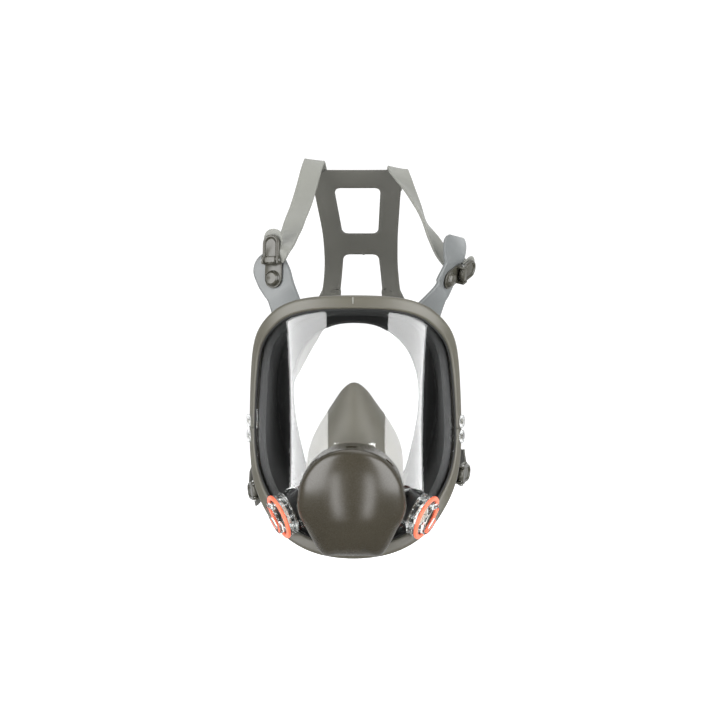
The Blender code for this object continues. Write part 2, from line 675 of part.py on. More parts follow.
def build_cover():
    outer, outer_tip = cover_rings(0.0)
    inner, inner_tip = cover_rings(COVER_WALL)
    rings = inner[::-1] + outer
    points, faces = bridge(rings)
    size = len(outer[0])
    for tip, first in ((inner_tip, 0), (outer_tip, len(points) - size)):
        points.append(tip)
        faces += [(len(points) - 1, first + i, first + (i + 1) % size) for i in range(size)]
    cover = solid("front_cover", points, faces, CREATED["cover_plastic"], port_frame().translation)
    frame = port_frame()
    outlet = block("outlet", (-17, -60, 9), (17, -30, 17), frame, CREATED["cover_plastic"])
    combine(cover, outlet, "DIFFERENCE")
    for turn, width in ((0, 4.0), (46, 4.0), (-46, 4.0)):
        slot_frame = frame @ Matrix.Rotation(math.radians(turn), 4, "Z")
        slot = block(f"slot_{turn}", (-width, 30, 18.0), (width, 60, 25.5), slot_frame, CREATED["cover_plastic"])
        combine(cover, slot, "DIFFERENCE")


def cup_path(i, count, edges):
    """The nose cup's section at one station: from its neck on the adapter to the edge on the face."""
    frame = port_frame()
    turn = 2 * math.pi * i / count
    round_neck = Vector((math.sin(turn), math.cos(turn), 0)) * 32.0
    neck_far = frame @ (round_neck + Vector((0, 0, -10.5)))
    shoulder = frame @ (round_neck + Vector((0, 0, -17.0)))
    edge = edges[i]
    belly = shoulder.lerp(edge, 0.5) + (shoulder.lerp(edge, 0.5) - Vector((0, -30, -25))).normalized() * 4.0
    lip = edge.lerp(Vector((0, edge.y, -22)), 0.16) + Vector((0, 2.0, 0))
    return [neck_far, *smooth_path((shoulder, belly, edge, lip), 2)]


def build_nose_cup():
    count = 44
    edges = mirrored_loop(CUP_EDGE, count)
    paths = [cup_path(i, count, edges) for i in range(count)]
    sections = []
    for i, path in enumerate(paths):
        across = (paths[(i + 1) % count][2] - paths[i - 1][2]).normalized()
        sections.append(thick_path(path, across, CUP_THICKNESS))
    cup = section_loft("nose_cup", sections, CREATED["cup_silicone"])
    for side in (-1, 1):
        i = round(count * 0.3) if side > 0 else count - round(count * 0.3)
        place = paths[i][3]
        along = paths[i][4] - paths[i][2]
        across = paths[(i + 1) % count][3] - paths[i - 1][3]
        out = along.cross(across).normalized()
        if out.x * side < 0:
            out = -out
        frame = placed(place, out)
        hole = tube(f"cheek_hole_{side}", 7.8, 0, -9, 9, frame, CREATED["cup_silicone"], 24)
        combine(cup, hole, "DIFFERENCE", "MANIFOLD")
        seat_profile = ((5.6, -2.6), (7.4, -2.6), (7.4, 2.6), (9.6, 2.6), (9.6, 3.8), (5.6, 3.8))
        seat = turned(f"cup_valve_seat_{SIDES[side]}", seat_profile, frame, CREATED["frame_plastic"], 24)
        bar = block(f"cup_bar_{side}", (-6.2, -0.7, 0.2), (6.2, 0.7, 1.4), frame, CREATED["frame_plastic"])
        combine(seat, bar, "UNION")
        tube(f"cup_valve_{SIDES[side]}", 6.6, 0, -3.8, -2.6 - GAP, frame, CREATED["valve_silicone"], 20)


def plate(name, rows, present, thickness, finish):
    """A sheet from rows of points, two columns to each strip; present says which cells of a row are solid."""
    columns = len(rows[0])
    normals = []
    for r, row in enumerate(rows):
        line = []
        for c in range(columns):
            along = rows[min(r + 1, len(rows) - 1)][c] - rows[max(r - 1, 0)][c]
            across = row[min(c + 1, columns - 1)] - row[max(c - 1, 0)]
            line.append(along.cross(across).normalized() * (thickness / 2))
        normals.append(line)
    points = [rows[r][c] + sign * normals[r][c] for sign in (1, -1) for r in range(len(rows)) for c in range(columns)]
    layer = len(rows) * columns
    faces = []
    for r, cells in enumerate(present):
        for c, filled in enumerate(cells):
            if not filled:
                continue
            a, b = r * columns + c, r * columns + c + 1
            d, e = a + columns, b + columns
            faces += [(a, b, e, d), (layer + d, layer + e, layer + b, layer + a)]
            edges = (
                (a, b, r > 0 and present[r - 1][c]), (b, e, c + 1 < len(cells) and cells[c + 1]),
                (e, d, r + 1 < len(present) and present[r + 1][c]), (d, a, c > 0 and cells[c - 1]),
            )
            faces += [(q, p, layer + p, layer + q) for p, q, joined in edges if not joined]
    return points, faces


def crown_point(u, v):
    """The harness's crown sheet: u across, v down from its top edge."""
    at = smooth_path(CROWN_LINE, 8)
    run = 0.0
    for a, b in zip(at, at[1:]):
        step = (b - a).length
        if run + step >= v:
            base = a.lerp(b, (v - run) / step)
            break
        run += step
    else:
        base = at[-1]
    return Vector((u + base.x, base.y - u**2 / 260.0, base.z))


def strap_end(buckle, back):
    """Where a strap reaches its buckle: just past the base plate, moved back along the strap."""
    return buckle.matrix @ Vector((0, 21.8 + back, 1.2))


def build_harness():
    rubber = CREATED["harness_rubber"]
    rows, present = [], []
    for v, outer, inner, middle in CROWN_ROWS:
        rows.append([crown_point(u, v) for u in (-outer, -inner, inner, outer)])
        present.append((True, middle, True))
    by_name = {buckle.name: buckle for buckle in BUCKLES}
    legs = {}
    for side in (-1, 1):
        buckle = by_name[f"lower_{SIDES[side]}"]
        last = rows[-1]
        start = (last[0] + last[1]) / 2 if side < 0 else (last[2] + last[3]) / 2
        before = rows[-2]
        lead = (before[0] + before[1]) / 2 if side < 0 else (before[2] + before[3]) / 2
        across = buckle.matrix.to_3x3() @ Vector((1, 0, 0))
        stations = [(start, (1, -0.1 * side, 0), (last[1] - last[0]).length)]
        for x, y, z, ax, ay, az in LOWER_STRAP:
            stations.append((Vector((x * side, y, z)), (ax, ay * side, az * side), STRAP_WIDTH))
        stations.append((strap_end(buckle, 12), across, STRAP_WIDTH))
        stations.append((strap_end(buckle, 0), across, STRAP_WIDTH - 3))
        path = smooth_path([lead, *(p for p, _, _ in stations)], 3)[3:]
        acrosses = smooth_path([Vector(a).normalized() for _, a, _ in stations], 3)
        widths = [w.x for w in smooth_path([(w, 0, 0) for _, _, w in stations], 3)]
        legs[side] = [(p - a.normalized() * w / 2, p + a.normalized() * w / 2) for p, a, w in zip(path, acrosses, widths)]
    for left, right in list(zip(legs[-1], legs[1]))[1:]:
        rows.append([left[0], left[1], right[0], right[1]])
        present.append((True, False, True))
    points, faces = plate("head_harness", rows, present[1:], STRAP_THICKNESS, rubber)
    harness = solid("head_harness", points, faces, rubber)
    for side in (-1, 1):
        buckle = by_name[f"upper_{SIDES[side]}"]
        across = buckle.matrix.to_3x3() @ Vector((-side, 0, 0))
        leaving = (0.82, 0, -0.57 * side)
        stations = [
            (crown_point(24 * side, 15), leaving, STRAP_WIDTH - 2),
            (crown_point(31 * side, 4), leaving, STRAP_WIDTH),
        ]
        stations += [(Vector(p), a, STRAP_WIDTH) for p, a in UPPER_STRAPS[side]]
        stations.append((strap_end(buckle, 6), across, STRAP_WIDTH - 1))
        stations.append((strap_end(buckle, 0), across, STRAP_WIDTH - 3))
        strap = smooth_ribbon(f"strap_{side}", stations, STRAP_THICKNESS, rubber, 3)
        combine(harness, strap, "UNION", "MANIFOLD")


def build_materials():
    CREATED["clear"] = material("clear_lens", (0.86, 0.89, 0.88), 0.03, alpha=0.3)
    CREATED["frame_plastic"] = material("frame_plastic", (0.15, 0.145, 0.12), 0.45)
    CREATED["cover_plastic"] = material("cover_plastic", (0.085, 0.078, 0.062), 0.35)
    CREATED["seal_rubber"] = material("seal_rubber", (0.16, 0.17, 0.17), 0.6)
    CREATED["cup_silicone"] = material("cup_silicone", (0.17, 0.165, 0.145), 0.5)
    CREATED["gasket_rubber"] = material("gasket_rubber", (0.75, 0.13, 0.05), 0.5)
    CREATED["valve_silicone"] = material("valve_silicone", (0.62, 0.55, 0.5), 0.45)
    CREATED["harness_rubber"] = material("harness_rubber", (0.24, 0.24, 0.22), 0.6)
    CREATED["buckle_plastic"] = material("buckle_plastic", (0.12, 0.12, 0.1), 0.25)
    CREATED["steel"] = material("steel", (0.6, 0.6, 0.6), 0.3, 1.0)


clear_scene()
build_materials()
build_lens()
build_frame()
build_seal()
build_buckles()
build_side_ports()
build_centre_port()
build_cover()
build_nose_cup()
build_harness()
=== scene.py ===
"""Full face respirator: wrap-round clear lens, two bayonet ports, domed front cover and buckled head harness.

Lengths below are millimetres unless a name ends in _M. The mask faces -Y with +Z up. "Left" is the -X side.
"""

import math

import bmesh
import bpy
from mathutils import Matrix, Vector


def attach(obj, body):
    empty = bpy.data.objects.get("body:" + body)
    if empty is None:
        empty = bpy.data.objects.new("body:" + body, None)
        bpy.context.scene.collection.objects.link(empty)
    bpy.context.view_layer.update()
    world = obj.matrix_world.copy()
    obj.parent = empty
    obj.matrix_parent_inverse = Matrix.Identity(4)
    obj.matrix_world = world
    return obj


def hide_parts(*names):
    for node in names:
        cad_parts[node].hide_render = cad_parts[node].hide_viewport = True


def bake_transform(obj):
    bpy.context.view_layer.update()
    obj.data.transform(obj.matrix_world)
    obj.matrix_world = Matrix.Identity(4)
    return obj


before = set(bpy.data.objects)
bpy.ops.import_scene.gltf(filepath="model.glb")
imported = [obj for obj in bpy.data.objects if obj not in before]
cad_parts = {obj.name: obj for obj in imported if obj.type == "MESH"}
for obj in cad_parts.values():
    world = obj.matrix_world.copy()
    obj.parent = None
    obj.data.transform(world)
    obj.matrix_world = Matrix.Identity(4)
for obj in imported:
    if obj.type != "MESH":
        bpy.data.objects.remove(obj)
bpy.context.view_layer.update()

MM = 0.001
SIDES = {-1: "left", 1: "right"}

# Lens: an upright elliptic cylinder, bowed back a little at its top and bottom
LENS_HALF_WIDTH = 84.0
LENS_DEPTH = 74.0
LENS_BOW_RADIUS = 420.0
LENS_THICKNESS = 2.0
# Half of the lens edge from the brow to the chin: turn about the upright axis in degrees, height
LENS_EDGE = (
    (0, 103.4), (22, 102), (38, 97), (50, 88.5), (63, 74), (70.5, 56), (76, 25),
    (78.5, 0), (77, -18), (69.5, -38), (54, -61), (39.5, -79), (21, -91.5), (0, -95.5),
)
LENS_PORT_HOLE = 14.0
# Temple studs: turn in degrees, heights, and half section (radius, height above the lens)
EAR_TURN = 77.5
EAR_HEIGHTS = (5.2, -7.2)
EAR_PROFILE = ((0, 0), (2.2, 0), (2.2, 5.9), (5.0, 6.0), (5.4, 6.4), (5.4, 7.3), (4.8, 8.0), (0, 8.2))

# Frame: a channel round the lens edge, in (outwards in the lens surface, out of the surface)
FRAME_SECTION = (
    (-5.2, 0.35), (-5.2, 2.0), (-4.2, 3.2), (2.5, 4.6), (4.9, 3.9), (5.6, 2.0),
    (5.6, -5.6), (4.6, -6.9), (-2.0, -6.9), (-2.0, -5.6), (0.5, -5.6), (0.5, 0.35),
)
FRAME_JOINT = -1.0
FRAME_JOINT_GAP = 0.35
BEAD_RADIUS = 0.75
BEAD_AT = (-5.9, 1.0)
SCREW_AT = (82.6, -4.2)

# Centre port and front cover
PORT_HEIGHT = -47.0
PORT_TILT = 7.0
COLLAR_RADIUS = 34.0
COLLAR_BORE = 30.0
COLLAR_RIBS = ((37.4, 1.0), (40.0, -0.6))  # radius, place along the port's axis
COLLAR_RIB_SPAN = (62, 118)  # degrees round the collar
COVER_TILT = 20.0
COVER_FRONT = (0.0, -93.0, -54.0)
COVER_WALL = 2.0
COVER_CROWN = 17.0
COVER_MEAN_RADIUS = 42.0
COVER_BACK = 2.6
COVER_SLOTS = (0, 46, -46)  # degrees from the top
COVER_REAR = (0.95, 0.86)  # the back edge's share of the outline: sideways, and upwards above the middle
COVER_EDGE = (
    (0, 47.5), (16, 44.3), (30, 34.5), (39.5, 19.5), (43, 0), (41.6, -10), (37, -19.5), (24.5, -43.5),
    (12, -45), (0, -45),
)

# Inhalation ports
SIDE_PORT = (57.5, -72.0, -66.5)
SIDE_AXIS = (0.862, -0.342, -0.374)
SIDE_ROOT = (46.8, -55.0, -60.0)
SIDE_INWARD = (-0.42, 1.0, 0.12)
GASKET_RADIUS = 18.5
GASKET_BORE = 14.7
GASKET_THICKNESS = 2.4
BARREL_BORE = 11.5
NECK_ROOT = (15.6, 13.2)  # outer and inner radius
NECK_TIP = (15.2, 12.6)
NECK_TIP_AT = -6.4
GRIP_RIBS = 18
BAYONET_LUGS = 3

# Face seal: half loops from the brow to the chin
SEAL_RIM = (
    (0, -30, 99), (32, -25, 94), (55, -4, 77), (67, 18, 45), (68.5, 28, 12), (64, 28, -18), (51, 16, -50),
    (29, -2, -78), (0, -14, -91),
)
SEAL_LIP = (
    (0, -34, 87), (22, -31, 83), (41, -18, 67), (51, 0, 42), (52, 9, 15), (47, 11, -15), (38, 4, -45),
    (23, -11, -70), (0, -22, -82),
)
SEAL_THICKNESS = 2.2

# Ear tabs: for each, its root, the direction across it and its width
TAB_THICKNESS = 2.4
TAB_ROOTS = {
    "upper_left": ((-51, -8, 80), (0.86, -0.35, 0.4), 33.0),
    "upper_right": ((51, -8, 80), (0.8, 0.35, -0.5), 33.0),
    "lower_left": ((-55, 20, -44), (0.25, 0.1, 0.95), 24.0),
    "lower_right": ((57, 21, -38), (0.25, -0.1, -0.95), 24.0),
}
# Distance from the stud along the tab, share of its width
TAB_OUTLINE = (
    (-17, 0.86), (-8, 0.92), (0, 1.0), (8, 1.0), (13, 0.97), (17, 0.87), (20, 0.72), (22.3, 0.52),
    (23.6, 0.3), (24.1, 0.08),
)
# The upper right tab stands up behind its buckle: point, direction across (none: as at the stud), width
TALL_TAB = (
    ((78.5, 12.5, 129), None, 30.0), ((80.3, 14.5, 138), (0.45, 0.72, -0.5), 29.0),
    ((81.4, 16.5, 145), (0.62, 0.62, -0.4), 27.0), ((82.2, 18.5, 151), (0.75, 0.6, -0.25), 24.0),
    ((82.6, 19.7, 155), (0.8, 0.58, -0.15), 19.5), ((82.7, 20.2, 156.8), (0.8, 0.58, -0.1), 15.0),
)

# Nose cup
CUP_EDGE = (
    (0, -39, 37), (9, -35, 31.5), (19, -24, 17), (30, -12, 0), (37, -6, -18), (36, -8, -38), (26, -14, -58),
    (12, -21, -69), (0, -24, -72),
)
CUP_THICKNESS = 2.0
CUP_NECK_RADIUS = 32.0
CUP_HOLE_RADIUS = 7.8
CUP_HOLE_AT = (37.538, -30.094, -44.501)
CUP_HOLE_AXIS = (0.976996, -0.043123, -0.208854)

# Buckles
BASE_HALF_WIDTH = 7.9
BASE_SPAN = (-8.0, 20.5)
LEVER_HALF_WIDTH = 7.3
LEVER_SPAN = (11.8, 36.0)
LEVER_FLOOR, LEVER_FACE = 4.6, 6.2

# Head harness
STRAP_THICKNESS = 2.2
STRAP_WIDTH = 18.0
CROWN_LINE = (
    (-1.9, 84, 215), (-1.8, 91, 197), (0.1, 105, 160), (0.6, 117, 126), (0.2, 124, 96), (0, 126, 70),
)
# Crown ladder outline: distance from its top edge, half width
CROWN_OUTER = (
    (0, 27), (3, 32.5), (9, 36.5), (16.5, 38), (21.5, 37.4), (27, 36.6), (34, 35.8), (48, 34.1), (59, 33),
    (68, 32.5), (84, 32.2), (96, 32.8), (108, 34), (118, 36),
)
# Windows in the ladder: top edge, bottom edge, half width at each, and corner radius
CROWN_WINDOWS = ((16.5, 58.5, 20.2, 15.6, 4.5), (78.0, 128.0, 15.4, 20.2, 4.5))
LOWER_STRAP = (
    (42, 124, 78, 0.95, -0.15, 0.25), (58, 115, 48, 0.75, -0.4, 0.5), (74, 94, 8, 0.35, -0.5, 0.8),
)
LADDER_LEG = (37.0, 18.6)  # outer and inner edge where the lower straps leave the ladder
# Upper straps, down from the ladder's top corners: point, direction across
UPPER_RUNS = {
    -1: (
        ((-34, 89.6, 203), (0.99, 0.05, -0.1)), ((-36.5, 88, 211), (0.99, 0.02, -0.12)),
        ((-38, 84, 219.5), (0.99, 0, -0.13)), ((-38.7, 79.5, 222.6), (0.99, 0, -0.13)),
        ((-39.4, 75.5, 220.5), (0.99, 0, -0.12)), ((-41.5, 70, 213), (0.99, 0, -0.05)),
        ((-44.5, 63, 200), (0.98, 0.05, 0.1)), ((-48.7, 52, 183.9), (0.96, 0.08, 0.2)),
        ((-52.6, 41, 172), (0.95, 0.1, 0.24)), ((-56.6, 27, 158.5), (0.94, 0.05, 0.28)),
    ),
    1: (
        ((28, 89, 200), (0.98, -0.05, -0.2)), ((30.5, 87, 207), (0.98, -0.02, -0.2)),
        ((32.6, 83, 213), (0.98, 0, -0.2)), ((33, 79, 215.6), (0.98, 0, -0.2)),
        ((34.2, 75, 213.6), (0.97, 0.1, -0.2)), ((38, 70, 207), (0.85, 0.4, -0.25)),
        ((43.5, 64.5, 197), (0.6, 0.75, -0.2)), ((49, 58, 186), (0.35, 0.93, -0.1)),
        ((56, 50, 170.5), (0.05, 0.99, 0.05)), ((64, 46, 156), (0.3, 0.9, 0.25)),
        ((72, 42, 143), (0.35, 0.8, 0.5)), ((82, 37, 134), (0, 0.5, 0.86)),
    ),
}
# Strap tails beyond the levers: distance from the stud, width
STRAP_TAIL = (
    (20.5, 15.0), (25, 16.6), (30, 17.6), (34, 17.4), (37, 16.0), (39, 13.2), (40.6, 8.8), (41.4, 3.5),
)
TAIL_LIFT = 3.3
TAIL_THICKNESS = 1.6

# Camera and lights
CAMERA_LENS = 96.6
CAMERA_AIM_M = (0.0048, -0.04, 0.0565)
CAMERA_DISTANCE_M = 1.56
CAMERA_TURN, CAMERA_RISE = 2.0, 3.0
LIGHT_DISTANCE_M = 1.1
STRIPS = ((-1, 26.5, 69.5), (1, 30.0, 74.0))  # side, azimuths of the near and far edge
STRIP_HEIGHT_M, STRIP_LEVEL_M, STRIP_RADIANCE = 1.3, 0.25, 6.6
LOW_AZIMUTH, LOW_LEVEL_M, LOW_RADIANCE = 17, -0.5, 11.0
FLOOR_RADIUS_M, FLOOR_LEVEL_M = 3.0, -0.32


# ---- shared geometry ----

def placed(point, axis, up=(0, 0, 1)):
    """A frame at the point whose Z is the axis and whose Y is as near to up as it can be."""
    z = Vector(axis).normalized()
    x = Vector(up).cross(z).normalized()
    y = z.cross(x)
    return Matrix.Translation(Vector(point)) @ Matrix((x, y, z)).transposed().to_4x4()


def smooth_path(controls, steps):
    """Catmull-Rom through the controls, with the given number of steps between neighbours."""
    held = [Vector(c) for c in controls]
    held = [held[0] * 2 - held[1], *held, held[-1] * 2 - held[-2]]
    path = []
    for a, b, c, d in zip(held, held[1:], held[2:], held[3:]):
        bend, twist = 2 * a - 5 * b + 4 * c - d, 3 * b - a - 3 * c + d
        for k in range(steps):
            t = k / steps
            path.append(0.5 * (2 * b + (c - a) * t + bend * t**2 + twist * t**3))
    path.append(held[-2])
    return path


def mirrored_loop(half, count):
    """An evenly spaced closed loop from a half outline whose ends lie on the middle plane."""
    right = [Vector(p) for p in half]
    left = [Vector((-p[0], *p[1:])) for p in right[-2:0:-1]]
    ring = right + left
    wrapped = [ring[-1], *ring, ring[0], ring[1]]
    dense = smooth_path(wrapped, 24)[24:-24]
    lengths = [0.0]
    for a, b in zip(dense, dense[1:]):
        lengths.append(lengths[-1] + (b - a).length)
    even, at = [], 0
    for i in range(count):
        wanted = lengths[-1] * i / count
        while lengths[at + 1] < wanted:
            at += 1
        share = (wanted - lengths[at]) / (lengths[at + 1] - lengths[at])
        even.append(dense[at].lerp(dense[at + 1], share))
    return even


def lens_point(turn, height, out=0.0):
    """A point of the lens surface, or the given distance out of it."""
    depth = LENS_DEPTH - height**2 / (2 * LENS_BOW_RADIUS)
    x = LENS_HALF_WIDTH * math.sin(turn)
    y = -depth * math.cos(turn)
    normal = Vector((x / LENS_HALF_WIDTH**2, y / depth**2, y**2 * height / (depth**3 * LENS_BOW_RADIUS)))
    return Vector((x, y, height)) + normal.normalized() * out


def lens_normal(turn, height):
    return (lens_point(turn, height, 1.0) - lens_point(turn, height)).normalized()


def edge_loop(count):
    """Evenly spaced (turn, height) stations round the lens edge."""
    scale = LENS_HALF_WIDTH * math.pi / 180
    flat = mirrored_loop([(turn * scale, height, 0) for turn, height in LENS_EDGE], count)
    return [(p[0] / LENS_HALF_WIDTH, p[1]) for p in flat]


def edge_frames(count):
    """At each station of the lens edge: the point, the direction outwards in the surface, and the normal."""
    loop = edge_loop(count)
    points = [lens_point(*station) for station in loop]
    frames = []
    for i, station in enumerate(loop):
        along = (points[(i + 1) % len(loop)] - points[i - 1]).normalized()
        normal = lens_normal(*station)
        frames.append((points[i], along.cross(normal).normalized() * -1, normal))
    if frames[0][1].z < 0:
        frames = [(p, -b, n) for p, b, n in frames]
    return frames


def facing(point, tilt):
    """A frame at the point that looks forwards, and down by the tilt in degrees."""
    turn = math.radians(tilt)
    return placed(point, (0, -math.cos(turn), -math.sin(turn)))


def port_frame():
    """The centre port's frame."""
    return facing(lens_point(0, PORT_HEIGHT), PORT_TILT)


def side_frame(side):
    """The frame of a side port's gasket face."""
    point = (SIDE_PORT[0] * side, SIDE_PORT[1], SIDE_PORT[2])
    return placed(point, (SIDE_AXIS[0] * side, SIDE_AXIS[1], SIDE_AXIS[2]))


def side_root(side, depth):
    """The frame of a side port's root on the lens, the given depth behind it."""
    inward = Vector((SIDE_INWARD[0] * side, SIDE_INWARD[1], SIDE_INWARD[2])).normalized()
    root = Vector((SIDE_ROOT[0] * side, SIDE_ROOT[1], SIDE_ROOT[2]))
    return placed(root + inward * depth, -inward)


class Buckle:
    """A buckle's frame: Z out of the ear tab, Y the way the buckle points; and the tab's own frame."""

    def __init__(self, name, seat, outward, up, tab_up):
        self.name = name
        self.body = name.replace("_", " ") + " buckle"
        self.lever = name.replace("_", " ") + " lever"
        self.matrix = placed(seat, outward, up)
        self.tab = placed(seat, outward, tab_up)


BUCKLES = (
    Buckle("upper_left", (-68.5, 9.5, 121.5), (-0.42, -0.9, 0.1), (0.02, 0.1, 1), (-0.42, 0.25, 0.87)),
    Buckle("upper_right", (76, 9.5, 121), (0.88, -0.42, -0.2), (0.4, 0.84, 0.36), (0.36, 0.42, 0.83)),
    Buckle("lower_left", (-78.5, 35, -58), (-0.94, -0.3, -0.1), (-0.12, 0.98, -0.1), (-0.12, 0.98, -0.1)),
    Buckle("lower_right", (78, 35, -46), (0.94, -0.3, -0.1), (0.12, 0.98, 0.05), (0.12, 0.98, 0.05)),
)


# ---- mesh making ----

def made(name, points, faces, finish, sharp=40.0):
    """An object from points in millimetres, with smooth shading and its sharp edges kept."""
    mesh = bpy.data.meshes.new(name)
    mesh.from_pydata([Vector(p) * MM for p in points], [], faces)
    work = bmesh.new()
    work.from_mesh(mesh)
    bmesh.ops.remove_doubles(work, verts=work.verts, dist=0.001 * MM)
    bmesh.ops.recalc_face_normals(work, faces=work.faces)
    work.to_mesh(mesh)
    work.free()
    mesh.shade_smooth()
    mesh.set_sharp_from_angle(angle=math.radians(sharp))
    mesh.materials.append(finish)
    piece = bpy.data.objects.new(name, mesh)
    bpy.context.scene.collection.objects.link(piece)
    return piece


def apply_modifiers(piece):
    """Makes the piece's modifiers part of its mesh."""
    graph = bpy.context.evaluated_depsgraph_get()
    mesh = bpy.data.meshes.new_from_object(piece.evaluated_get(graph))
    piece.modifiers.clear()
    piece.data = mesh
    return piece


def smoothed(piece, sharp):
    """Smooth shading, with edges sharper than the angle in degrees kept."""
    piece.data.shade_smooth()
    piece.data.set_sharp_from_angle(angle=math.radians(sharp))
    return piece


def cut(piece, *tools):
    """Cuts the tools from the piece and removes them."""
    for tool in tools:
        boolean = piece.modifiers.new("cut", "BOOLEAN")
        boolean.operation = "DIFFERENCE"
        boolean.solver = "EXACT"
        boolean.object = tool
    apply_modifiers(piece)
    for tool in tools:
        bpy.data.objects.remove(tool, do_unlink=True)
    return piece


def joined(piece, *others):
    """One mesh of separate shells that lie together."""
    work = bmesh.new()
    work.from_mesh(piece.data)
    for other in others:
        work.from_mesh(other.data)
        bpy.data.objects.remove(other, do_unlink=True)
    work.to_mesh(piece.data)
    work.free()
    return piece


def rounded(piece, width, segments=2, angle=40.0):
    """Rounds the piece's sharp edges."""
    bevel = piece.modifiers.new("round", "BEVEL")
    bevel.width = width * MM
    bevel.segments = segments
    bevel.limit_method = "ANGLE"
    bevel.angle_limit = math.radians(angle)
    return smoothed(apply_modifiers(piece), 50)


def walled(piece, thickness, offset):
    """Gives an open skin its thickness."""
    wall = piece.modifiers.new("wall", "SOLIDIFY")
    wall.thickness = thickness * MM
    wall.offset = offset
    return apply_modifiers(piece)


def bridge(rings, loop=False, closed=True):
    """Quads between neighbouring rings; loop joins the last ring to the first."""
    size = len(rings[0])
    points = [p for ring in rings for p in ring]
    faces = []
    pairs = len(rings) if loop else len(rings) - 1
    for row in range(pairs):
        below, above = row * size, (row + 1) % len(rings) * size
        for i in range(size if closed else size - 1):
            j = (i + 1) % size
            faces.append((below + i, below + j, above + j, above + i))
    return points, faces


def capped(rings):
    """A closed body through the rings."""
    points, faces = bridge(rings)
    size = len(rings[0])
    faces.append(tuple(range(size))[::-1])
    faces.append(tuple(range(len(points) - size, len(points))))
    return points, faces


def circle(place, radius, lift, steps=56):
    """Points round a circle about the place's Z, at the lift along it."""
    turns = (2 * math.pi * k / steps for k in range(steps))
    return [place @ Vector((radius * math.cos(a), radius * math.sin(a), lift)) for a in turns]


def turned(name, profile, matrix, finish, steps=72, closed=True, sharp=40.0):
    """A body turned about the matrix's Z from (radius, height) points; not closed: it ends on the axis."""
    rings = []
    for k in range(steps):
        angle = 2 * math.pi * k / steps
        rings.append([matrix @ Vector((r * math.cos(angle), r * math.sin(angle), h)) for r, h in profile])
    points, faces = bridge(rings, loop=True, closed=closed)
    return made(name, points, faces, finish, sharp)


def disc(name, radius, low, high, matrix, finish, steps=64):
    """A round plug between two heights."""
    profile = ((0, low), (radius, low), (radius, high), (0, high))
    return turned(name, profile, matrix, finish, steps, closed=False)


def plate_of(name, outline, low, high, matrix, finish):
    """A flat plate: a plane outline given thickness along the matrix's Z."""
    rings = [[matrix @ Vector((x, y, z)) for x, y in outline] for z in (low, high)]
    return made(name, *capped(rings), finish)


def block(name, low, high, matrix, finish):
    """A box between two corners."""
    ring = ((low[0], low[1]), (high[0], low[1]), (high[0], high[1]), (low[0], high[1]))
    return plate_of(name, ring, low[2], high[2], matrix, finish)


def stadium(half_width, low, high, steps=10):
    """A closed outline with round ends, upright, between two heights."""
    outline = []
    for centre, start in ((high - half_width, 0.0), (low + half_width, math.pi)):
        for k in range(steps + 1):
            angle = start + math.pi * k / steps
            outline.append((half_width * math.cos(angle), centre + half_width * math.sin(angle)))
    return outline


def soft_corners(section, radius, steps=3):
    """The closed section with each corner eased by a short curve."""
    points = [Vector(p) for p in section]
    eased = []
    for i, corner in enumerate(points):
        before, after = points[i - 1] - corner, points[(i + 1) % len(points)] - corner
        reach = min(radius, before.length * 0.45, after.length * 0.45)
        a, b = corner + before.normalized() * reach, corner + after.normalized() * reach
        for k in range(steps + 1):
            t = k / steps
            eased.append(a * (1 - t) ** 2 + corner * 2 * t * (1 - t) + b * t**2)
    return eased


def thick_path(path, across, thickness):
    """A closed section: the path given thickness in the plane square to across."""
    upper, lower = [], []
    for i, point in enumerate(path):
        along = (path[min(i + 1, len(path) - 1)] - path[max(i - 1, 0)]).normalized()
        side = along.cross(across).normalized() * (thickness / 2)
        upper.append(point + side)
        lower.append(point - side)
    return upper + lower[::-1]


def strap_section(bead):
    """Half-width shares and lifts, in half thicknesses, round a strap with soft, beaded edges."""
    top = (
        (-1, 0), (-0.985, 0.6), (-0.94, 1 + bead), (-0.86, 1 + bead), (-0.8, 1), (0.8, 1), (0.86, 1 + bead),
        (0.94, 1 + bead), (0.985, 0.6), (1, 0),
    )
    return [*top, *((u, -w) for u, w in top[-2:0:-1])]


def ribbon(name, stations, thickness, finish, steps=8, bead=0.0):
    """A strap through (point, across, width) stations, with soft edges."""
    path = smooth_path([point for point, _, _ in stations], steps)
    acrosses = smooth_path([Vector(across).normalized() for _, across, _ in stations], steps)
    widths = [w.x for w in smooth_path([(width, 0, 0) for _, _, width in stations], steps)]
    rings = []
    for i, (point, across, width) in enumerate(zip(path, acrosses, widths)):
        along = (path[min(i + 1, len(path) - 1)] - path[max(i - 1, 0)]).normalized()
        side = (across - along * across.dot(along)).normalized()
        out = side.cross(along).normalized()
        half = max(width, 0.6) / 2
        rings.append([point + side * (u * half) + out * (w * thickness / 2) for u, w in strap_section(bead)])
    return made(name, *capped(rings), finish, 60)


# ---- materials ----

def set_inputs(tree, node, values):
    """Sets the node's inputs, by name or number: an output is linked, and a constant is set."""
    for key, value in values.items():
        if isinstance(value, bpy.types.NodeSocket):
            tree.links.new(value, node.inputs[key])
        else:
            node.inputs[key].default_value = value


def add(tree, kind, values=None):
    """A new shader node with its inputs set."""
    node = tree.nodes.new("ShaderNode" + kind)
    set_inputs(tree, node, values or {})
    return node


def new_finish(name):
    """A new material and its node tree."""
    finish = bpy.data.materials.new(name)
    finish.use_nodes = True
    return finish, finish.node_tree


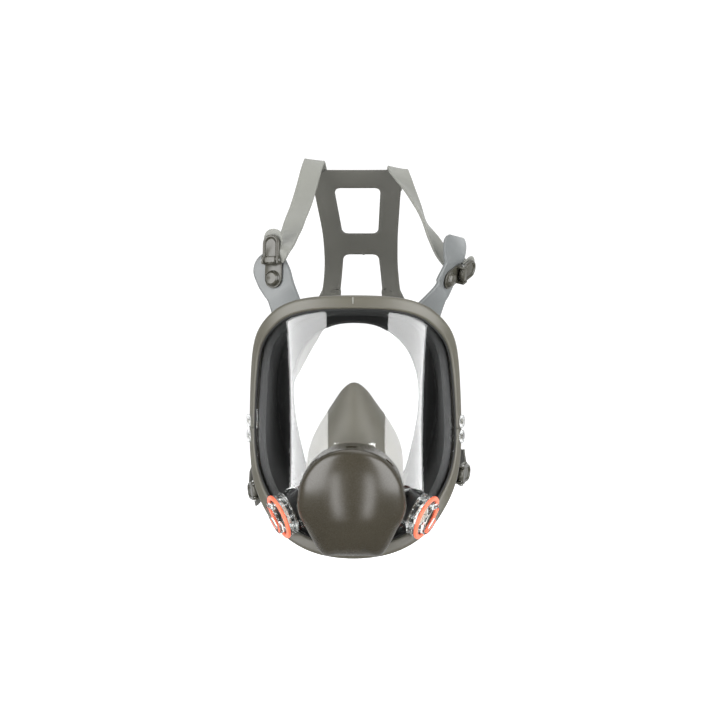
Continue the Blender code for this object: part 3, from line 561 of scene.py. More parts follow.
def surface(name, colour, roughness, grain_mm=0.4, bump=0.12, mottle=0.12, coat=0.0, sheen=0.0):
    """Moulded plastic or rubber: fine texture in the mould, faint colour clouds and patchy polish."""
    finish, tree = new_finish(name)
    where = add(tree, "TexCoord").outputs["Object"]
    fine = add(tree, "TexNoise", {"Vector": where, "Scale": 1 / (grain_mm * MM), "Detail": 3}).outputs["Fac"]
    broad = add(tree, "TexNoise", {"Vector": where, "Scale": 45, "Detail": 4}).outputs["Fac"]
    tint = add(tree, "Mix")
    tint.data_type = "RGBA"
    low = [c * (1 - mottle) for c in colour]
    high = [min(c * (1 + mottle), 1) for c in colour]
    set_inputs(tree, tint, {"A": (*low, 1), "B": (*high, 1), "Factor": broad})
    polish = add(tree, "MapRange", {
        "Value": fine, "To Min": roughness * 0.88, "To Max": min(roughness * 1.12, 1),
    })
    looks = {
        "Base Color": tint.outputs["Result"], "Roughness": polish.outputs["Result"], "Coat Weight": coat,
        "Coat Roughness": 0.12, "Sheen Weight": sheen,
    }
    if bump:
        relief = add(tree, "Bump", {"Strength": bump, "Distance": 0.08 * MM, "Height": fine})
        looks["Normal"] = relief.outputs["Normal"]
    set_inputs(tree, tree.nodes["Principled BSDF"], looks)
    return finish


def clear_sheet(name, tint, haze):
    """A thin, faintly hazy clear sheet: what is behind it shows through, and it mirrors by Fresnel."""
    finish, tree = new_finish(name)
    tree.nodes.clear()
    through = add(tree, "BsdfTransparent", {"Color": (*tint, 1)})
    gloss = add(tree, "BsdfGlossy", {"Roughness": 0.03, "Color": (1, 1, 1, 1)})
    fresnel = add(tree, "Fresnel", {"IOR": 1.5}).outputs["Fac"]
    # The share mirrored is F (1 - F), so that the inner face does not turn into a full mirror at the sides
    rest = add(tree, "Math", {0: 1.0, 1: fresnel})
    rest.operation = "SUBTRACT"
    share = add(tree, "Math", {0: fresnel, 1: rest.outputs["Value"]})
    share.operation = "MULTIPLY"
    mix = add(tree, "MixShader", {
        "Fac": share.outputs["Value"], 1: through.outputs["BSDF"], 2: gloss.outputs["BSDF"],
    })
    where = add(tree, "TexCoord").outputs["Object"]
    marks = add(tree, "TexNoise", {"Vector": where, "Scale": 30, "Detail": 5})
    amount = add(tree, "MapRange", {
        "Value": marks.outputs["Fac"], "From Min": 0.45, "To Min": haze * 0.5, "To Max": haze,
    })
    milk = add(tree, "BsdfDiffuse", {"Color": (0.8, 0.82, 0.82, 1)})
    last = add(tree, "MixShader", {
        "Fac": amount.outputs["Result"], 1: mix.outputs["Shader"], 2: milk.outputs["BSDF"],
    })
    add(tree, "OutputMaterial", {"Surface": last.outputs["Shader"]})
    return finish


def clear_moulding(name, tint):
    """A thick clear moulding that bends light, with a faint flow pattern."""
    finish, tree = new_finish(name)
    where = add(tree, "TexCoord").outputs["Object"]
    flow = add(tree, "TexNoise", {"Vector": where, "Scale": 180})
    relief = add(tree, "Bump", {"Strength": 0.25, "Distance": 0.3 * MM, "Height": flow.outputs["Fac"]})
    set_inputs(tree, tree.nodes["Principled BSDF"], {
        "Base Color": (*tint, 1), "Roughness": 0.06, "IOR": 1.2, "Transmission Weight": 1.0,
        "Normal": relief.outputs["Normal"],
    })
    return finish


def steel(name):
    """Turned steel."""
    finish = surface(name, (0.55, 0.55, 0.54), 0.3, grain_mm=0.25, bump=0.1, mottle=0.08)
    finish.node_tree.nodes["Principled BSDF"].inputs["Metallic"].default_value = 1.0
    return finish


FRAME_FINISH = surface("frame_plastic", (0.07, 0.066, 0.051), 0.4, grain_mm=0.5, bump=0.12)
COVER_FINISH = surface("cover_plastic", (0.03, 0.026, 0.018), 0.27, grain_mm=0.35, bump=0.05)
# The face seal and its ear tabs are one rubber moulding: the seal's colour is set far darker than the tabs'
# to paint the shade inside the mask.
SEAL_SHADE_FINISH = surface("seal_rubber", (0.0075, 0.0078, 0.0075), 0.62, grain_mm=0.8, bump=0)
TAB_FINISH = surface("tab_rubber", (0.115, 0.122, 0.122), 0.42, grain_mm=0.6, bump=0.1)
CUP_FINISH = surface("cup_silicone", (0.09, 0.083, 0.064), 0.55, grain_mm=0.6, bump=0.1, sheen=0.2)
GASKET_FINISH = surface(
    "gasket_rubber", (0.78, 0.13, 0.06), 0.4, grain_mm=0.5, bump=0.06, mottle=0.08, coat=0.1,
)
VALVE_FINISH = surface("valve_silicone", (0.42, 0.36, 0.31), 0.4, grain_mm=0.5, bump=0.05)
HARNESS_FINISH = surface("harness_rubber", (0.055, 0.054, 0.045), 0.5, grain_mm=0.7, bump=0.14, sheen=0.15)
STRAP_FINISH = surface("strap_rubber", (0.15, 0.152, 0.135), 0.5, grain_mm=0.7, bump=0.14, sheen=0.15)
BUCKLE_FINISH = surface("buckle_plastic", (0.045, 0.043, 0.033), 0.3, grain_mm=0.6, bump=0.04, coat=0.12)
LENS_FINISH = clear_sheet("lens_clear", (0.992, 0.996, 0.996), haze=0.004)
PORT_FINISH = clear_moulding("port_clear", (0.96, 0.975, 0.97))
STEEL_FINISH = steel("screw_steel")


# ---- pieces ----

def build_lens():
    """The clear shell, open at the three ports."""
    stations, count = 18, 200
    loop = edge_loop(count)
    layers = []
    for out in (0.0, -LENS_THICKNESS):
        layers.append([
            [lens_point(t * k / stations, h * k / stations, out) for t, h in loop]
            for k in range(stations, 0, -1)
        ])
    rings = layers[1][::-1] + layers[0]
    points, faces = bridge(rings)
    for middle, first in ((lens_point(0, 0, -LENS_THICKNESS), 0), (lens_point(0, 0), len(points) - count)):
        points.append(middle)
        faces += [(len(points) - 1, first + i, first + (i + 1) % count) for i in range(count)]
    lens = made("lens_shell", points, faces, LENS_FINISH)
    tools = [disc("hole", COLLAR_BORE + 1, -40, 30, port_frame(), LENS_FINISH)]
    for side in (-1, 1):
        tools.append(disc("hole", LENS_PORT_HOLE, -14, 14, side_root(side, 0), LENS_FINISH))
    smoothed(cut(lens, *tools), 30)
    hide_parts("lens")
    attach(lens, "mask")


def build_collar():
    """The centre port's collar, with two ribs on the nose cup just above it."""
    profile = (
        (COLLAR_BORE, -9), (COLLAR_RADIUS, -9), (COLLAR_RADIUS, 0.8), (COLLAR_RADIUS - 0.8, 2),
        (COLLAR_BORE, 2),
    )
    ring = turned("lens_collar", profile, port_frame(), PORT_FINISH, 120)
    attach(ring, "mask")
    start, end = COLLAR_RIB_SPAN
    for k, (radius, lift) in enumerate(COLLAR_RIBS):
        arc = []
        for step in range(25):
            angle = math.radians(start + (end - start) * step / 24)
            where = port_frame() @ Vector((radius * math.cos(angle), radius * math.sin(angle), lift))
            arc.append((where, (0, -0.9, 0.4), 1.6))
        rib = ribbon(f"collar_rib_{k}", arc, 0.9, CUP_FINISH, 1)
        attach(rib, "mask")


def build_ears():
    """The clear studs on the lens at the temples."""
    for side in (-1, 1):
        for k, height in enumerate(EAR_HEIGHTS):
            turn = math.radians(EAR_TURN) * side
            where = placed(lens_point(turn, height, -1.0), lens_normal(turn, height))
            ear = turned(f"lens_ear_{SIDES[side]}_{k}", EAR_PROFILE, where, PORT_FINISH, 40, closed=False)
            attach(ear, "mask")


def build_side_ports():
    """Each side port: a neck from the lens, a ribbed barrel with three bayonet lugs, and its ring gasket."""
    barrel_profile = (
        (BARREL_BORE, -7.4), (17.2, -8.0), (17.6, -7.6), (17.6, -7.0), (17.2, -6.6), (15.6, -6.2),
        (15.6, -2.8), (17.4, -2.2), (17.8, -1.8), (17.8, -0.8), (17.4, -0.3), (12.8, -0.3), (12.8, 5.6),
        (12.3, 6.2), (BARREL_BORE, 6.2),
    )
    high = GASKET_THICKNESS
    gasket_profile = (
        (GASKET_BORE, 0.5), (GASKET_BORE + 0.5, 0), (GASKET_RADIUS - 0.6, 0), (GASKET_RADIUS, 0.5),
        (GASKET_RADIUS, high - 0.7), (GASKET_RADIUS - 0.25, high - 0.2), (GASKET_RADIUS - 0.8, high),
        (GASKET_BORE + 0.7, high), (GASKET_BORE + 0.2, high - 0.2), (GASKET_BORE, high - 0.6),
    )
    for side, label in SIDES.items():
        where, root = side_frame(side), side_root(side, 3)
        outer, inner = (
            [circle(root, root_radius, 0), circle(where, tip_radius, NECK_TIP_AT)]
            for root_radius, tip_radius in zip(NECK_ROOT, NECK_TIP)
        )
        middle_out, middle_in = ([a.lerp(b, 0.5) for a, b in zip(*wall)] for wall in (outer, inner))
        rings = [outer[0], middle_out, outer[1], inner[1], middle_in, inner[0]]
        neck = made(f"port_neck_{label}", *bridge(rings, loop=True), PORT_FINISH)
        barrel = turned(f"port_barrel_{label}", barrel_profile, where, PORT_FINISH, 72)
        extras = []
        for k in range(GRIP_RIBS):
            turn = where @ Matrix.Rotation(2 * math.pi * k / GRIP_RIBS, 4, "Z")
            extras.append(block("rib", (15.2, -0.7, -6.8), (17.3, 0.7, -1.8), turn, PORT_FINISH))
        for k in range(BAYONET_LUGS):
            turn = where @ Matrix.Rotation(2 * math.pi * k / BAYONET_LUGS + math.pi / 2, 4, "Z")
            lug = block("lug", (9.2, -4.8, 3.7), (13.3, 4.8, 5.8), turn, PORT_FINISH)
            extras.append(rounded(lug, 0.5))
        joined(barrel, *extras)
        for piece in (neck, barrel):
            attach(piece, "mask")
        gasket = turned(f"gasket_{label}", gasket_profile, where, GASKET_FINISH, 120, sharp=80)
        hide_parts(f"inhalation_gasket_{label}")
        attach(gasket, "mask")


def build_frame():
    """The two frame halves, each with a lug for the screw at either temple."""
    section = soft_corners([(b, n, 0) for b, n in FRAME_SECTION], 0.9)
    rings = []
    for point, outwards, normal in edge_frames(220):
        rings.append([point + outwards * p.x + normal * p.y for p in section])
    points, faces = bridge(rings, loop=True)
    for half, sign in (("upper", 1), ("lower", -1)):
        piece = made(f"frame_{half}_half", points, faces, FRAME_FINISH, 60)
        work = bmesh.new()
        work.from_mesh(piece.data)
        geometry = work.verts[:] + work.edges[:] + work.faces[:]
        height = (FRAME_JOINT + sign * FRAME_JOINT_GAP / 2) * MM
        sliced = bmesh.ops.bisect_plane(
            work, geom=geometry, plane_co=(0, 0, height), plane_no=(0, 0, sign), clear_inner=True
        )
        rim = [e for e in sliced["geom_cut"] if isinstance(e, bmesh.types.BMEdge)]
        bmesh.ops.holes_fill(work, edges=rim, sides=200)
        work.to_mesh(piece.data)
        work.free()
        lugs = []
        for side in (-1, 1):
            screw = Matrix.Translation((SCREW_AT[0] * side, SCREW_AT[1], FRAME_JOINT))
            near, far = sorted((sign * FRAME_JOINT_GAP / 2, sign * 8.0))
            lugs.append(rounded(block("lug", (-4.0, -6.0, near), (4.0, 4.5, far), screw, FRAME_FINISH), 0.8))
        joined(piece, *lugs)
        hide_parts(f"{half}_frame")
        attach(piece, "mask")


def build_frame_trim():
    """The dark bead between the frame and the lens, and the fine marks at the brow and the chin, whose
    lighter colour is a painted highlight.
    """
    turns = [math.pi * k / 5 for k in range(10)]
    bead = [(BEAD_RADIUS * math.cos(a) + BEAD_AT[0], BEAD_RADIUS * math.sin(a) + BEAD_AT[1]) for a in turns]
    rings = [[p + outwards * b + normal * n for b, n in bead] for p, outwards, normal in edge_frames(220)]
    # The bead takes the seal's finish, whose colour is darkened to paint shade.
    lip = made("frame_bead", *bridge(rings, loop=True), SEAL_SHADE_FINISH, 60)
    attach(lip, "mask")
    brow = placed(lens_point(0, LENS_EDGE[0][1] + 0.9, 4.1), lens_normal(0, LENS_EDGE[0][1]))
    chin = placed(lens_point(0, LENS_EDGE[-1][1] - 0.5, 4.2), lens_normal(0, LENS_EDGE[-1][1]))
    # The marks are ribs moulded in the frame; the lighter strap finish on them is a painted highlight.
    for name, where, low, high in (("brow", brow, -2.8, 2.6), ("chin", chin, -1.8, 1.6)):
        mark = plate_of(f"frame_mark_painted_highlight_{name}", stadium(0.55, low, high, 6), -0.4, 0.45, where, STRAP_FINISH)
        rounded(mark, 0.15)
        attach(mark, "mask")


def seal_sections(count):
    """Sections of the seal round the mask, from its flange behind the lens edge to its inner lip."""
    frames = edge_frames(count)
    rims = mirrored_loop(SEAL_RIM, count)
    lips = mirrored_loop(SEAL_LIP, count)
    sections = []
    for i, (point, outwards, normal) in enumerate(frames):
        rim, lip = rims[i], lips[i]
        flange = [point + outwards * b + normal * n for b, n in ((-0.2, -4.1), (-5.2, -4.1), (-8.0, -7.2))]
        fold = rim.lerp(lip, 0.45) + Vector((0, 6.0, 0))
        waist = flange[-1].lerp(rim, 0.5) + (Vector((0, 0, 0)) - flange[-1]).normalized() * 1.5
        path = [*flange[:2], *smooth_path((flange[2], waist, rim, fold, lip), 7)]
        across = (frames[(i + 1) % count][0] - frames[i - 1][0]).normalized()
        sections.append(thick_path(path, across, SEAL_THICKNESS))
    return sections


def build_seal():
    """The rubber face seal behind the lens, in a near-black finish that paints the shade inside the mask."""
    seal = made("seal_skirt", *bridge(seal_sections(180), loop=True), SEAL_SHADE_FINISH, 60)
    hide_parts("faceseal")
    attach(seal, "mask")


def build_tabs():
    """The seal's four ear tabs."""
    for buckle in BUCKLES:
        root, spread, width = TAB_ROOTS[buckle.name]
        side = buckle.tab.to_3x3() @ Vector((1, 0, 0))
        middle = Vector((0, 0, -TAB_THICKNESS / 2))
        stations = [(Vector(root), spread, width * 0.95)]
        for along, share in TAB_OUTLINE:
            stations.append((buckle.tab @ (middle + Vector((0, along, 0))), side, width * share))
        if buckle.name == "upper_right":
            stations[3:] = [(Vector(point), across or side, wide) for point, across, wide in TALL_TAB]
        tab = ribbon(f"seal_tab_{buckle.name}", stations, TAB_THICKNESS, TAB_FINISH, 8, bead=0.16)
        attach(tab, "mask")


def build_buckles():
    """Each buckle: a plate with a boss round the stud, two lugs for the pin and a bar, and its lever."""
    boss = ((2.9, 2.0), (7.0, 2.0), (6.6, 3.4), (6.0, 4.0), (5.9, 2.4), (2.9, 2.4))
    bar = ((0, -6.4), (1.3, -6.4), (1.3, 6.4), (0, 6.4))
    for buckle in BUCKLES:
        matrix, name = buckle.matrix, buckle.name
        base = plate_of(f"base_{name}", stadium(BASE_HALF_WIDTH, *BASE_SPAN), 0.3, 2.2, matrix, BUCKLE_FINISH)
        rounded(base, 0.6)
        parts = [turned("boss", boss, matrix, BUCKLE_FINISH, 48)]
        for side in (-1, 1):
            near, far = sorted((BASE_HALF_WIDTH * side, (BASE_HALF_WIDTH - 2) * side))
            lug = block("lug", (near, 11.5, 1.0), (far, 18.5, 9.2), matrix, BUCKLE_FINISH)
            parts.append(rounded(lug, 0.9, 3))
        across = matrix @ placed((0, 19.0, 3.4), (1, 0, 0))
        parts.append(turned("bar", bar, across, BUCKLE_FINISH, 24, closed=False))
        joined(base, *parts)
        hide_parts(f"buckle_base_{name}")
        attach(base, buckle.body)
        lever = build_lever(buckle)
        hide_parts(f"buckle_lever_{name}")
        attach(lever, buckle.lever)


def build_lever(buckle):
    """The clamping lever: a plate with a raised rim, a dished face and a rounded toe that grips the strap."""
    matrix, name = buckle.matrix, buckle.name
    outline = stadium(LEVER_HALF_WIDTH, *LEVER_SPAN, 16)
    lever = plate_of(f"lever_{name}", outline, LEVER_FLOOR, LEVER_FACE, matrix, BUCKLE_FINISH)
    rings = []
    count = len(outline)
    for i, (x, y) in enumerate(outline):
        ax, ay = outline[(i + 1) % count]
        bx, by = outline[i - 1]
        along = Vector((ax - bx, ay - by, 0)).normalized()
        out = along.cross(Vector((0, 0, 1)))
        ring = []
        for k in range(10):
            angle = 2 * math.pi * k / 10
            lift = Vector((0, 0, 2.0 * math.sin(angle)))
            ring.append(matrix @ (Vector((x, y, LEVER_FACE)) + out * (1.5 * math.cos(angle) - 1.0) + lift))
        rings.append(ring)
    rim = made("rim", *bridge(rings, loop=True), BUCKLE_FINISH, 60)
    parts = [rim]
    dish = [matrix @ Vector((x * 0.62, 26 + (y - 26) * 0.66, 7.0)) for x, y in outline]
    brim = [matrix @ Vector((x * 0.86, 24.5 + (y - 24.5) * 0.86, 6.0)) for x, y in outline]
    parts.append(made("dish", *capped([brim, dish]), BUCKLE_FINISH, 25))
    parts.append(rounded(block("toe", (-5.4, 12.4, 4.4), (5.4, 18.2, 8.6), matrix, BUCKLE_FINISH), 1.2, 3))
    return joined(lever, *parts)


def build_cover():
    """The front cover: a hollow shell from the collar out to its domed face, with its outlet and slots."""
    count = 160
    outline = mirrored_loop([(x, v, 0) for x, v in COVER_EDGE], count)
    back = facing(port_frame() @ Vector((0, 0, COVER_BACK)), PORT_TILT)
    front = facing(COVER_FRONT, COVER_TILT)
    wide, tall = COVER_REAR
    rear = [back @ Vector((p.x * wide, p.y * (tall if p.y > 0 else 1.0), 0)) for p in outline]
    forward = [front @ Vector((p.x, p.y, -1.2)) for p in outline]
    rings = [[a.lerp(b, share) for a, b in zip(rear, forward)] for share in (0, 0.25, 0.5, 0.75, 1.0)]
    centre = Vector((0, -6, 0))
    for share in (0.992, 0.975, 0.95, 0.91, 0.86, 0.8, 0.72, 0.63, 0.53, 0.43, 0.33, 0.23, 0.14, 0.06):
        lift = Vector((0, 0, COVER_CROWN * (1 - share**2) ** 0.6 - (0.6 if share > 0.99 else 0)))
        spread = []
        for p in outline:
            reach = p - centre
            eased = reach.lerp(reach.normalized() * COVER_MEAN_RADIUS, 1 - share)
            spread.append(front @ (centre + eased * share + lift))
        rings.append(spread)
    points, faces = bridge(rings)
    points.append(front @ Vector((0, centre.y, COVER_CROWN)))
    last = len(points) - 1 - count
    faces += [(len(points) - 1, last + i, last + (i + 1) % count) for i in range(count)]
    cover = made("cover_shell", points, faces, COVER_FINISH, 70)
    walled(cover, COVER_WALL, -1.0)
    where = port_frame()
    tools = [block("outlet", (-17, -60, 9), (17, -30, 17), where, COVER_FINISH)]
    for angle in COVER_SLOTS:
        place = where @ Matrix.Rotation(math.radians(angle), 4, "Z")
        tools.append(block("slot", (-4.0, 30, 18.0), (4.0, 60, 25.5), place, COVER_FINISH))
    smoothed(cut(cover, *tools), 50)
    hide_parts("front_cover")
    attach(cover, "cover")


def build_nose_cup():
    """The nose cup: a skin from the centre adapter to the lip on the face, with a hole in each cheek."""
    count = 150
    where = port_frame()
    edges = mirrored_loop(CUP_EDGE, count)
    paths = []
    for i in range(count):
        turn = 2 * math.pi * i / count
        neck = Vector((math.sin(turn), math.cos(turn), 0)) * CUP_NECK_RADIUS
        far = where @ (neck + Vector((0, 0, -10.5)))
        shoulder = where @ (neck + Vector((0, 0, -17.0)))
        edge = edges[i]
        belly = shoulder.lerp(edge, 0.5)
        belly += (belly - Vector((0, -30, -25))).normalized() * 4.0
        lip = edge.lerp(Vector((0, edge.y, -22)), 0.16) + Vector((0, 2.0, 0))
        paths.append([far, *smooth_path((shoulder, belly, edge, lip), 9)])
    sections = []
    for i, path in enumerate(paths):
        across = (paths[(i + 1) % count][6] - paths[i - 1][6]).normalized()
        sections.append(thick_path(path, across, CUP_THICKNESS))
    cup = made("cup_skin", *bridge(sections, loop=True), CUP_FINISH, 60)
    holes = []
    for side in (-1, 1):
        at, axis = ((v[0] * side, v[1], v[2]) for v in (CUP_HOLE_AT, CUP_HOLE_AXIS))
        holes.append(disc("hole", CUP_HOLE_RADIUS, -9, 9, placed(at, axis), CUP_FINISH))
    smoothed(cut(cup, *holes), 50)
    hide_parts("nose_cup")
    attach(cup, "mask")


# ---- harness ----

def along_table(table, v):
    """A smooth value between (position, value) pairs."""
    path = smooth_path([(a, b, 0) for a, b in table], 12)
    for p, q in zip(path, path[1:]):
        if q.x >= v:
            return p.y + (q.y - p.y) * (v - p.x) / max(q.x - p.x, 1e-6)
    return path[-1].y


CROWN_PATH = smooth_path(CROWN_LINE, 16)


def crown_point(u, v):
    """A point of the ladder: sideways u, and v down along it from its top edge."""
    run = 0.0
    base = CROWN_PATH[-1]
    for a, b in zip(CROWN_PATH, CROWN_PATH[1:]):
        step = (b - a).length
        if run + step >= v:
            base = a.lerp(b, (v - run) / step)
            break
        run += step
    return Vector((u + base.x, base.y - u**2 / 260.0, base.z))


def crown_rows():
    """Rows of the ladder: distance down, outer and inner half width, and if the middle is solid below."""
    cuts = {0.0, 1.0, 2.0, 3.5, 5.5, 8.0, 12.0, 118.0}
    cuts |= {float(v) for v in range(20, 118, 4)}
    for top, bottom, _, _, radius in CROWN_WINDOWS:
        for k in range(7):
            ease = radius * (1 - math.cos(math.pi / 2 * k / 6))
            cuts |= {round(top + ease, 3), round(min(bottom - ease, 118.0), 3)}
    rows = []
    for v in sorted(cuts):
        outer = along_table(CROWN_OUTER, v)
        inner, solid = 14.0, True
        for top, bottom, wide_top, wide_bottom, radius in CROWN_WINDOWS:
            if top - 1e-6 <= v <= bottom + 1e-6:
                width = wide_top + (wide_bottom - wide_top) * (v - top) / (bottom - top)
                depth = max(radius - min(v - top, bottom - v), 0.0)
                inner = width - radius + math.sqrt(max(radius**2 - depth**2, 0.0))
                solid = v > bottom - 1e-6
        rows.append((v, outer, inner, solid))
    return rows


def build_crown():
    """The crown ladder, with its two windows and the small nub between them."""
    rows = crown_rows()
    grid = []
    for v, outer, inner, _ in rows:
        us = [-outer + (outer - inner) * k / 4 for k in range(5)]
        us += [-inner + 2 * inner * k / 6 for k in range(1, 6)]
        us += [inner + (outer - inner) * k / 4 for k in range(5)]
        grid.append([crown_point(u, v) for u in us])
    columns = len(grid[0])
    points = [p for row in grid for p in row]
    faces = []
    for r in range(len(grid) - 1):
        for c in range(columns - 1):
            if 4 <= c <= 9 and not rows[r][3]:
                continue
            a = r * columns + c
            faces.append((a, a + 1, a + columns + 1, a + columns))
    crown = made("harness_crown", points, faces, HARNESS_FINISH, 60)
    work = bmesh.new()
    work.from_mesh(crown.data)
    bmesh.ops.delete(work, geom=[v for v in work.verts if not v.link_faces], context="VERTS")
    work.to_mesh(crown.data)
    work.free()
    walled(crown, STRAP_THICKNESS, 0.0)
    rounded(crown, 0.5, 2, 50)
    profile = ((0, -1.0), (1.3, -1.0), (1.3, 0.9), (0.9, 1.3), (0, 1.4))
    place = placed(crown_point(2.2, 77.2), (0, -1, 0.3))
    joined(crown, turned("nub", profile, place, HARNESS_FINISH, 24, closed=False))
    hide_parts("head_harness")
    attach(crown, "mask")


def strap_end(buckle, back):
    """The middle of the strap where it meets its buckle, the given distance back along it."""
    return buckle.matrix @ Vector((0, 21.8 + back, 1.2))


def build_upper_straps():
    """The two upper straps, which fold over the ladder's top corners and hang to their buckles."""
    for side, buckle in ((-1, BUCKLES[0]), (1, BUCKLES[1])):
        turn = buckle.matrix.to_3x3()
        stations = [(Vector(p), a, STRAP_WIDTH) for p, a in UPPER_RUNS[side]]
        if side < 0:
            near, end = (buckle.matrix @ Vector((x, y, TAIL_LIFT)) for x, y in ((9.0, 25.5), (4.5, 15.5)))
            stations.append((near, turn @ Vector((0.94, -0.34, 0)), STRAP_WIDTH - 1))
            stations.append((end, turn @ Vector((0.92, -0.4, 0)), STRAP_WIDTH - 5))
        else:
            stations.append((strap_end(buckle, 6), turn @ Vector((-1, 0, 0)), STRAP_WIDTH - 1))
            stations.append((strap_end(buckle, 0), turn @ Vector((-1, 0, 0)), STRAP_WIDTH - 3))
        strap = ribbon(f"strap_upper_{SIDES[side]}", stations, STRAP_THICKNESS, STRAP_FINISH, 8, bead=0.1)
        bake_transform(strap)


def build_lower_straps():
    """The two lower straps, which carry on from the ladder's legs to the buckles at the jaw."""
    outer, inner = LADDER_LEG
    for side, buckle in ((-1, BUCKLES[2]), (1, BUCKLES[3])):
        across = buckle.matrix.to_3x3() @ Vector((1, 0, 0))
        middle = (outer + inner) / 2 * side
        stations = [
            (crown_point(middle - 1.2 * side, 110), (1, -0.1 * side, 0), outer - inner - 3),
            (crown_point(middle, 117), (1, -0.1 * side, 0), outer - inner - 0.5),
        ]
        for x, y, z, ax, ay, az in LOWER_STRAP:
            stations.append((Vector((x * side, y, z)), (ax, ay * side, az * side), STRAP_WIDTH))
        stations.append((strap_end(buckle, 12), across, STRAP_WIDTH))
        stations.append((strap_end(buckle, 0), across, STRAP_WIDTH - 3))
        strap = ribbon(f"strap_lower_{SIDES[side]}", stations, STRAP_THICKNESS, HARNESS_FINISH, 12)
        x, y, z = LOWER_STRAP[1][:3]
        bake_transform(strap)


def build_strap_tails():
    """The rounded end of each strap, which comes out beyond its lever."""
    for buckle in BUCKLES:
        side = buckle.matrix.to_3x3() @ Vector((1, 0, 0))
        stations = [(buckle.matrix @ Vector((0, y, TAIL_LIFT)), side, width) for y, width in STRAP_TAIL]
        tail = ribbon(f"strap_tail_{buckle.name}", stations, TAIL_THICKNESS, STRAP_FINISH, 6)
        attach(tail, buckle.body)


def finish_cad_nodes():
    """Better finishes on the CAD pieces that stay."""
    finishes = {
        "buckle_stud": BUCKLE_FINISH, "buckle_pin": STEEL_FINISH, "frame_screw": STEEL_FINISH,
        "inhalation_seat": PORT_FINISH, "centre_adapter": COVER_FINISH, "exhalation_seat": COVER_FINISH,
        "cup_valve_seat": FRAME_FINISH, "cup_valve_left": VALVE_FINISH, "cup_valve_right": VALVE_FINISH,
        "inhalation_valve": VALVE_FINISH, "exhalation_valve": VALVE_FINISH,
    }
    for name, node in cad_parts.items():
        for start, finish in finishes.items():
            if name.startswith(start):
                node.data.materials.clear()
                node.data.materials.append(finish)
                break


# ---- stage ----

def area_light(name, place, aim, width, height, radiance):
    """A soft box of the given even brightness."""
    light = bpy.data.lights.new(name, "AREA")
    light.shape = "RECTANGLE"
    light.size, light.size_y = width, height
    light.energy = radiance * math.pi * width * height
    lamp = bpy.data.objects.new(name, light)
    lamp.location = place
    lamp.rotation_euler = (Vector(aim) - Vector(place)).to_track_quat("-Z", "Y").to_euler()
    lamp.visible_camera = False
    bpy.context.scene.collection.objects.link(lamp)


def build_camera():
    """The view from the front, a little from the right and from above."""
    scene = bpy.context.scene
    scene.view_settings.view_transform = "Standard"
    camera = bpy.data.cameras.new("camera")
    camera.lens = CAMERA_LENS
    camera.sensor_width = 36
    camera.clip_start = 0.05
    eye = bpy.data.objects.new("camera", camera)
    turn, rise = math.radians(CAMERA_TURN), math.radians(CAMERA_RISE)
    away = Vector((math.sin(turn) * math.cos(rise), -math.cos(turn) * math.cos(rise), math.sin(rise)))
    eye.location = Vector(CAMERA_AIM_M) + away * CAMERA_DISTANCE_M
    eye.rotation_euler = (-away).to_track_quat("-Z", "Y").to_euler()
    scene.collection.objects.link(eye)
    scene.camera = eye


def build_world():
    """White paper behind the object; mirrored rays see a room that is dark in front and bright behind."""
    world = bpy.data.worlds.new("studio")
    bpy.context.scene.world = world
    world.use_nodes = True
    tree = world.node_tree
    tree.nodes.clear()
    path = add(tree, "LightPath").outputs
    seen = add(tree, "Math", {0: path["Is Camera Ray"], 1: path["Is Transmission Ray"]})
    seen.operation = "MAXIMUM"
    way = add(tree, "SeparateXYZ", {"Vector": add(tree, "TexCoord").outputs["Generated"]})
    glow = add(tree, "MapRange", {
        "Value": way.outputs["Y"], "From Min": 0.1, "From Max": 0.85, "To Min": 0.035, "To Max": 1.0,
    })
    room = add(tree, "Background", {"Color": (0.25, 0.255, 0.262, 1)})
    mirrored = add(tree, "Background", {"Color": (0.97, 0.98, 1.0, 1), "Strength": glow.outputs["Result"]})
    paper = add(tree, "Background", {"Color": (1, 1, 1, 1), "Strength": 1.15})
    dim = add(tree, "MixShader", {
        "Fac": path["Is Glossy Ray"], 1: room.outputs["Background"], 2: mirrored.outputs["Background"],
    })
    mix = add(tree, "MixShader", {
        "Fac": seen.outputs["Value"], 1: dim.outputs["Shader"], 2: paper.outputs["Background"],
    })
    add(tree, "OutputWorld", {"Surface": mix.outputs["Shader"]})


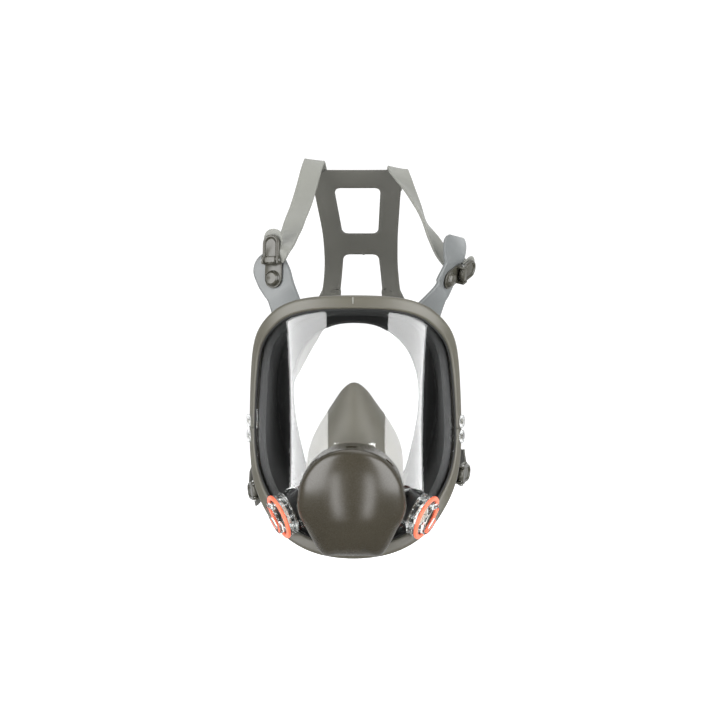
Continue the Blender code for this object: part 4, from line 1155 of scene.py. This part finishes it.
def light_place(side, azimuth, level):
    """A place in front of the object at the azimuth in degrees and the height in metres."""
    angle = math.radians(azimuth)
    return (LIGHT_DISTANCE_M * math.sin(angle) * side, -LIGHT_DISTANCE_M * math.cos(angle), level)


def build_lights():
    """Two tall strips that the lens mirrors as bands, two narrow low ones for the cover, and a top light."""
    for side, near, far in STRIPS:
        width = 2 * LIGHT_DISTANCE_M * math.tan(math.radians((far - near) / 2))
        place = light_place(side, (near + far) / 2, STRIP_LEVEL_M)
        aim = (0, 0, STRIP_LEVEL_M)
        area_light(f"strip_{SIDES[side]}", place, aim, width, STRIP_HEIGHT_M, STRIP_RADIANCE)
        place = light_place(side, LOW_AZIMUTH, LOW_LEVEL_M)
        area_light(f"low_{SIDES[side]}", place, (0, -0.09, -0.05), 0.13, 0.75, LOW_RADIANCE)
    area_light("top", (0.1, 0.1, 1.3), (0, 0, 0), 1.6, 1.2, 2.2)


def build_floor():
    """A round white floor, bright to the camera and dimmer to the object."""
    floor = bpy.data.meshes.new("floor")
    turns = (2 * math.pi * k / 96 for k in range(96))
    ring = [(FLOOR_RADIUS_M * math.cos(a), FLOOR_RADIUS_M * math.sin(a), FLOOR_LEVEL_M) for a in turns]
    floor.from_pydata(ring, [], [tuple(range(96))])
    finish, tree = new_finish("floor_paper")
    path = add(tree, "LightPath")
    glow = add(tree, "MapRange", {"Value": path.outputs["Is Camera Ray"], "To Min": 0.3, "To Max": 1.1})
    set_inputs(tree, tree.nodes["Principled BSDF"], {
        "Base Color": (0.9, 0.9, 0.9, 1), "Roughness": 0.8, "Emission Color": (1, 1, 1, 1),
        "Emission Strength": glow.outputs["Result"],
    })
    floor.materials.append(finish)
    ground = bpy.data.objects.new("floor", floor)
    ground.visible_glossy = False
    bpy.context.scene.collection.objects.link(ground)


build_camera()
build_world()
build_lights()
build_floor()
build_lens()
build_collar()
build_ears()
build_side_ports()
build_frame()
build_frame_trim()
build_seal()
build_tabs()
build_buckles()
build_cover()
build_nose_cup()
build_crown()
build_upper_straps()
build_lower_straps()
build_strap_tails()
finish_cad_nodes()
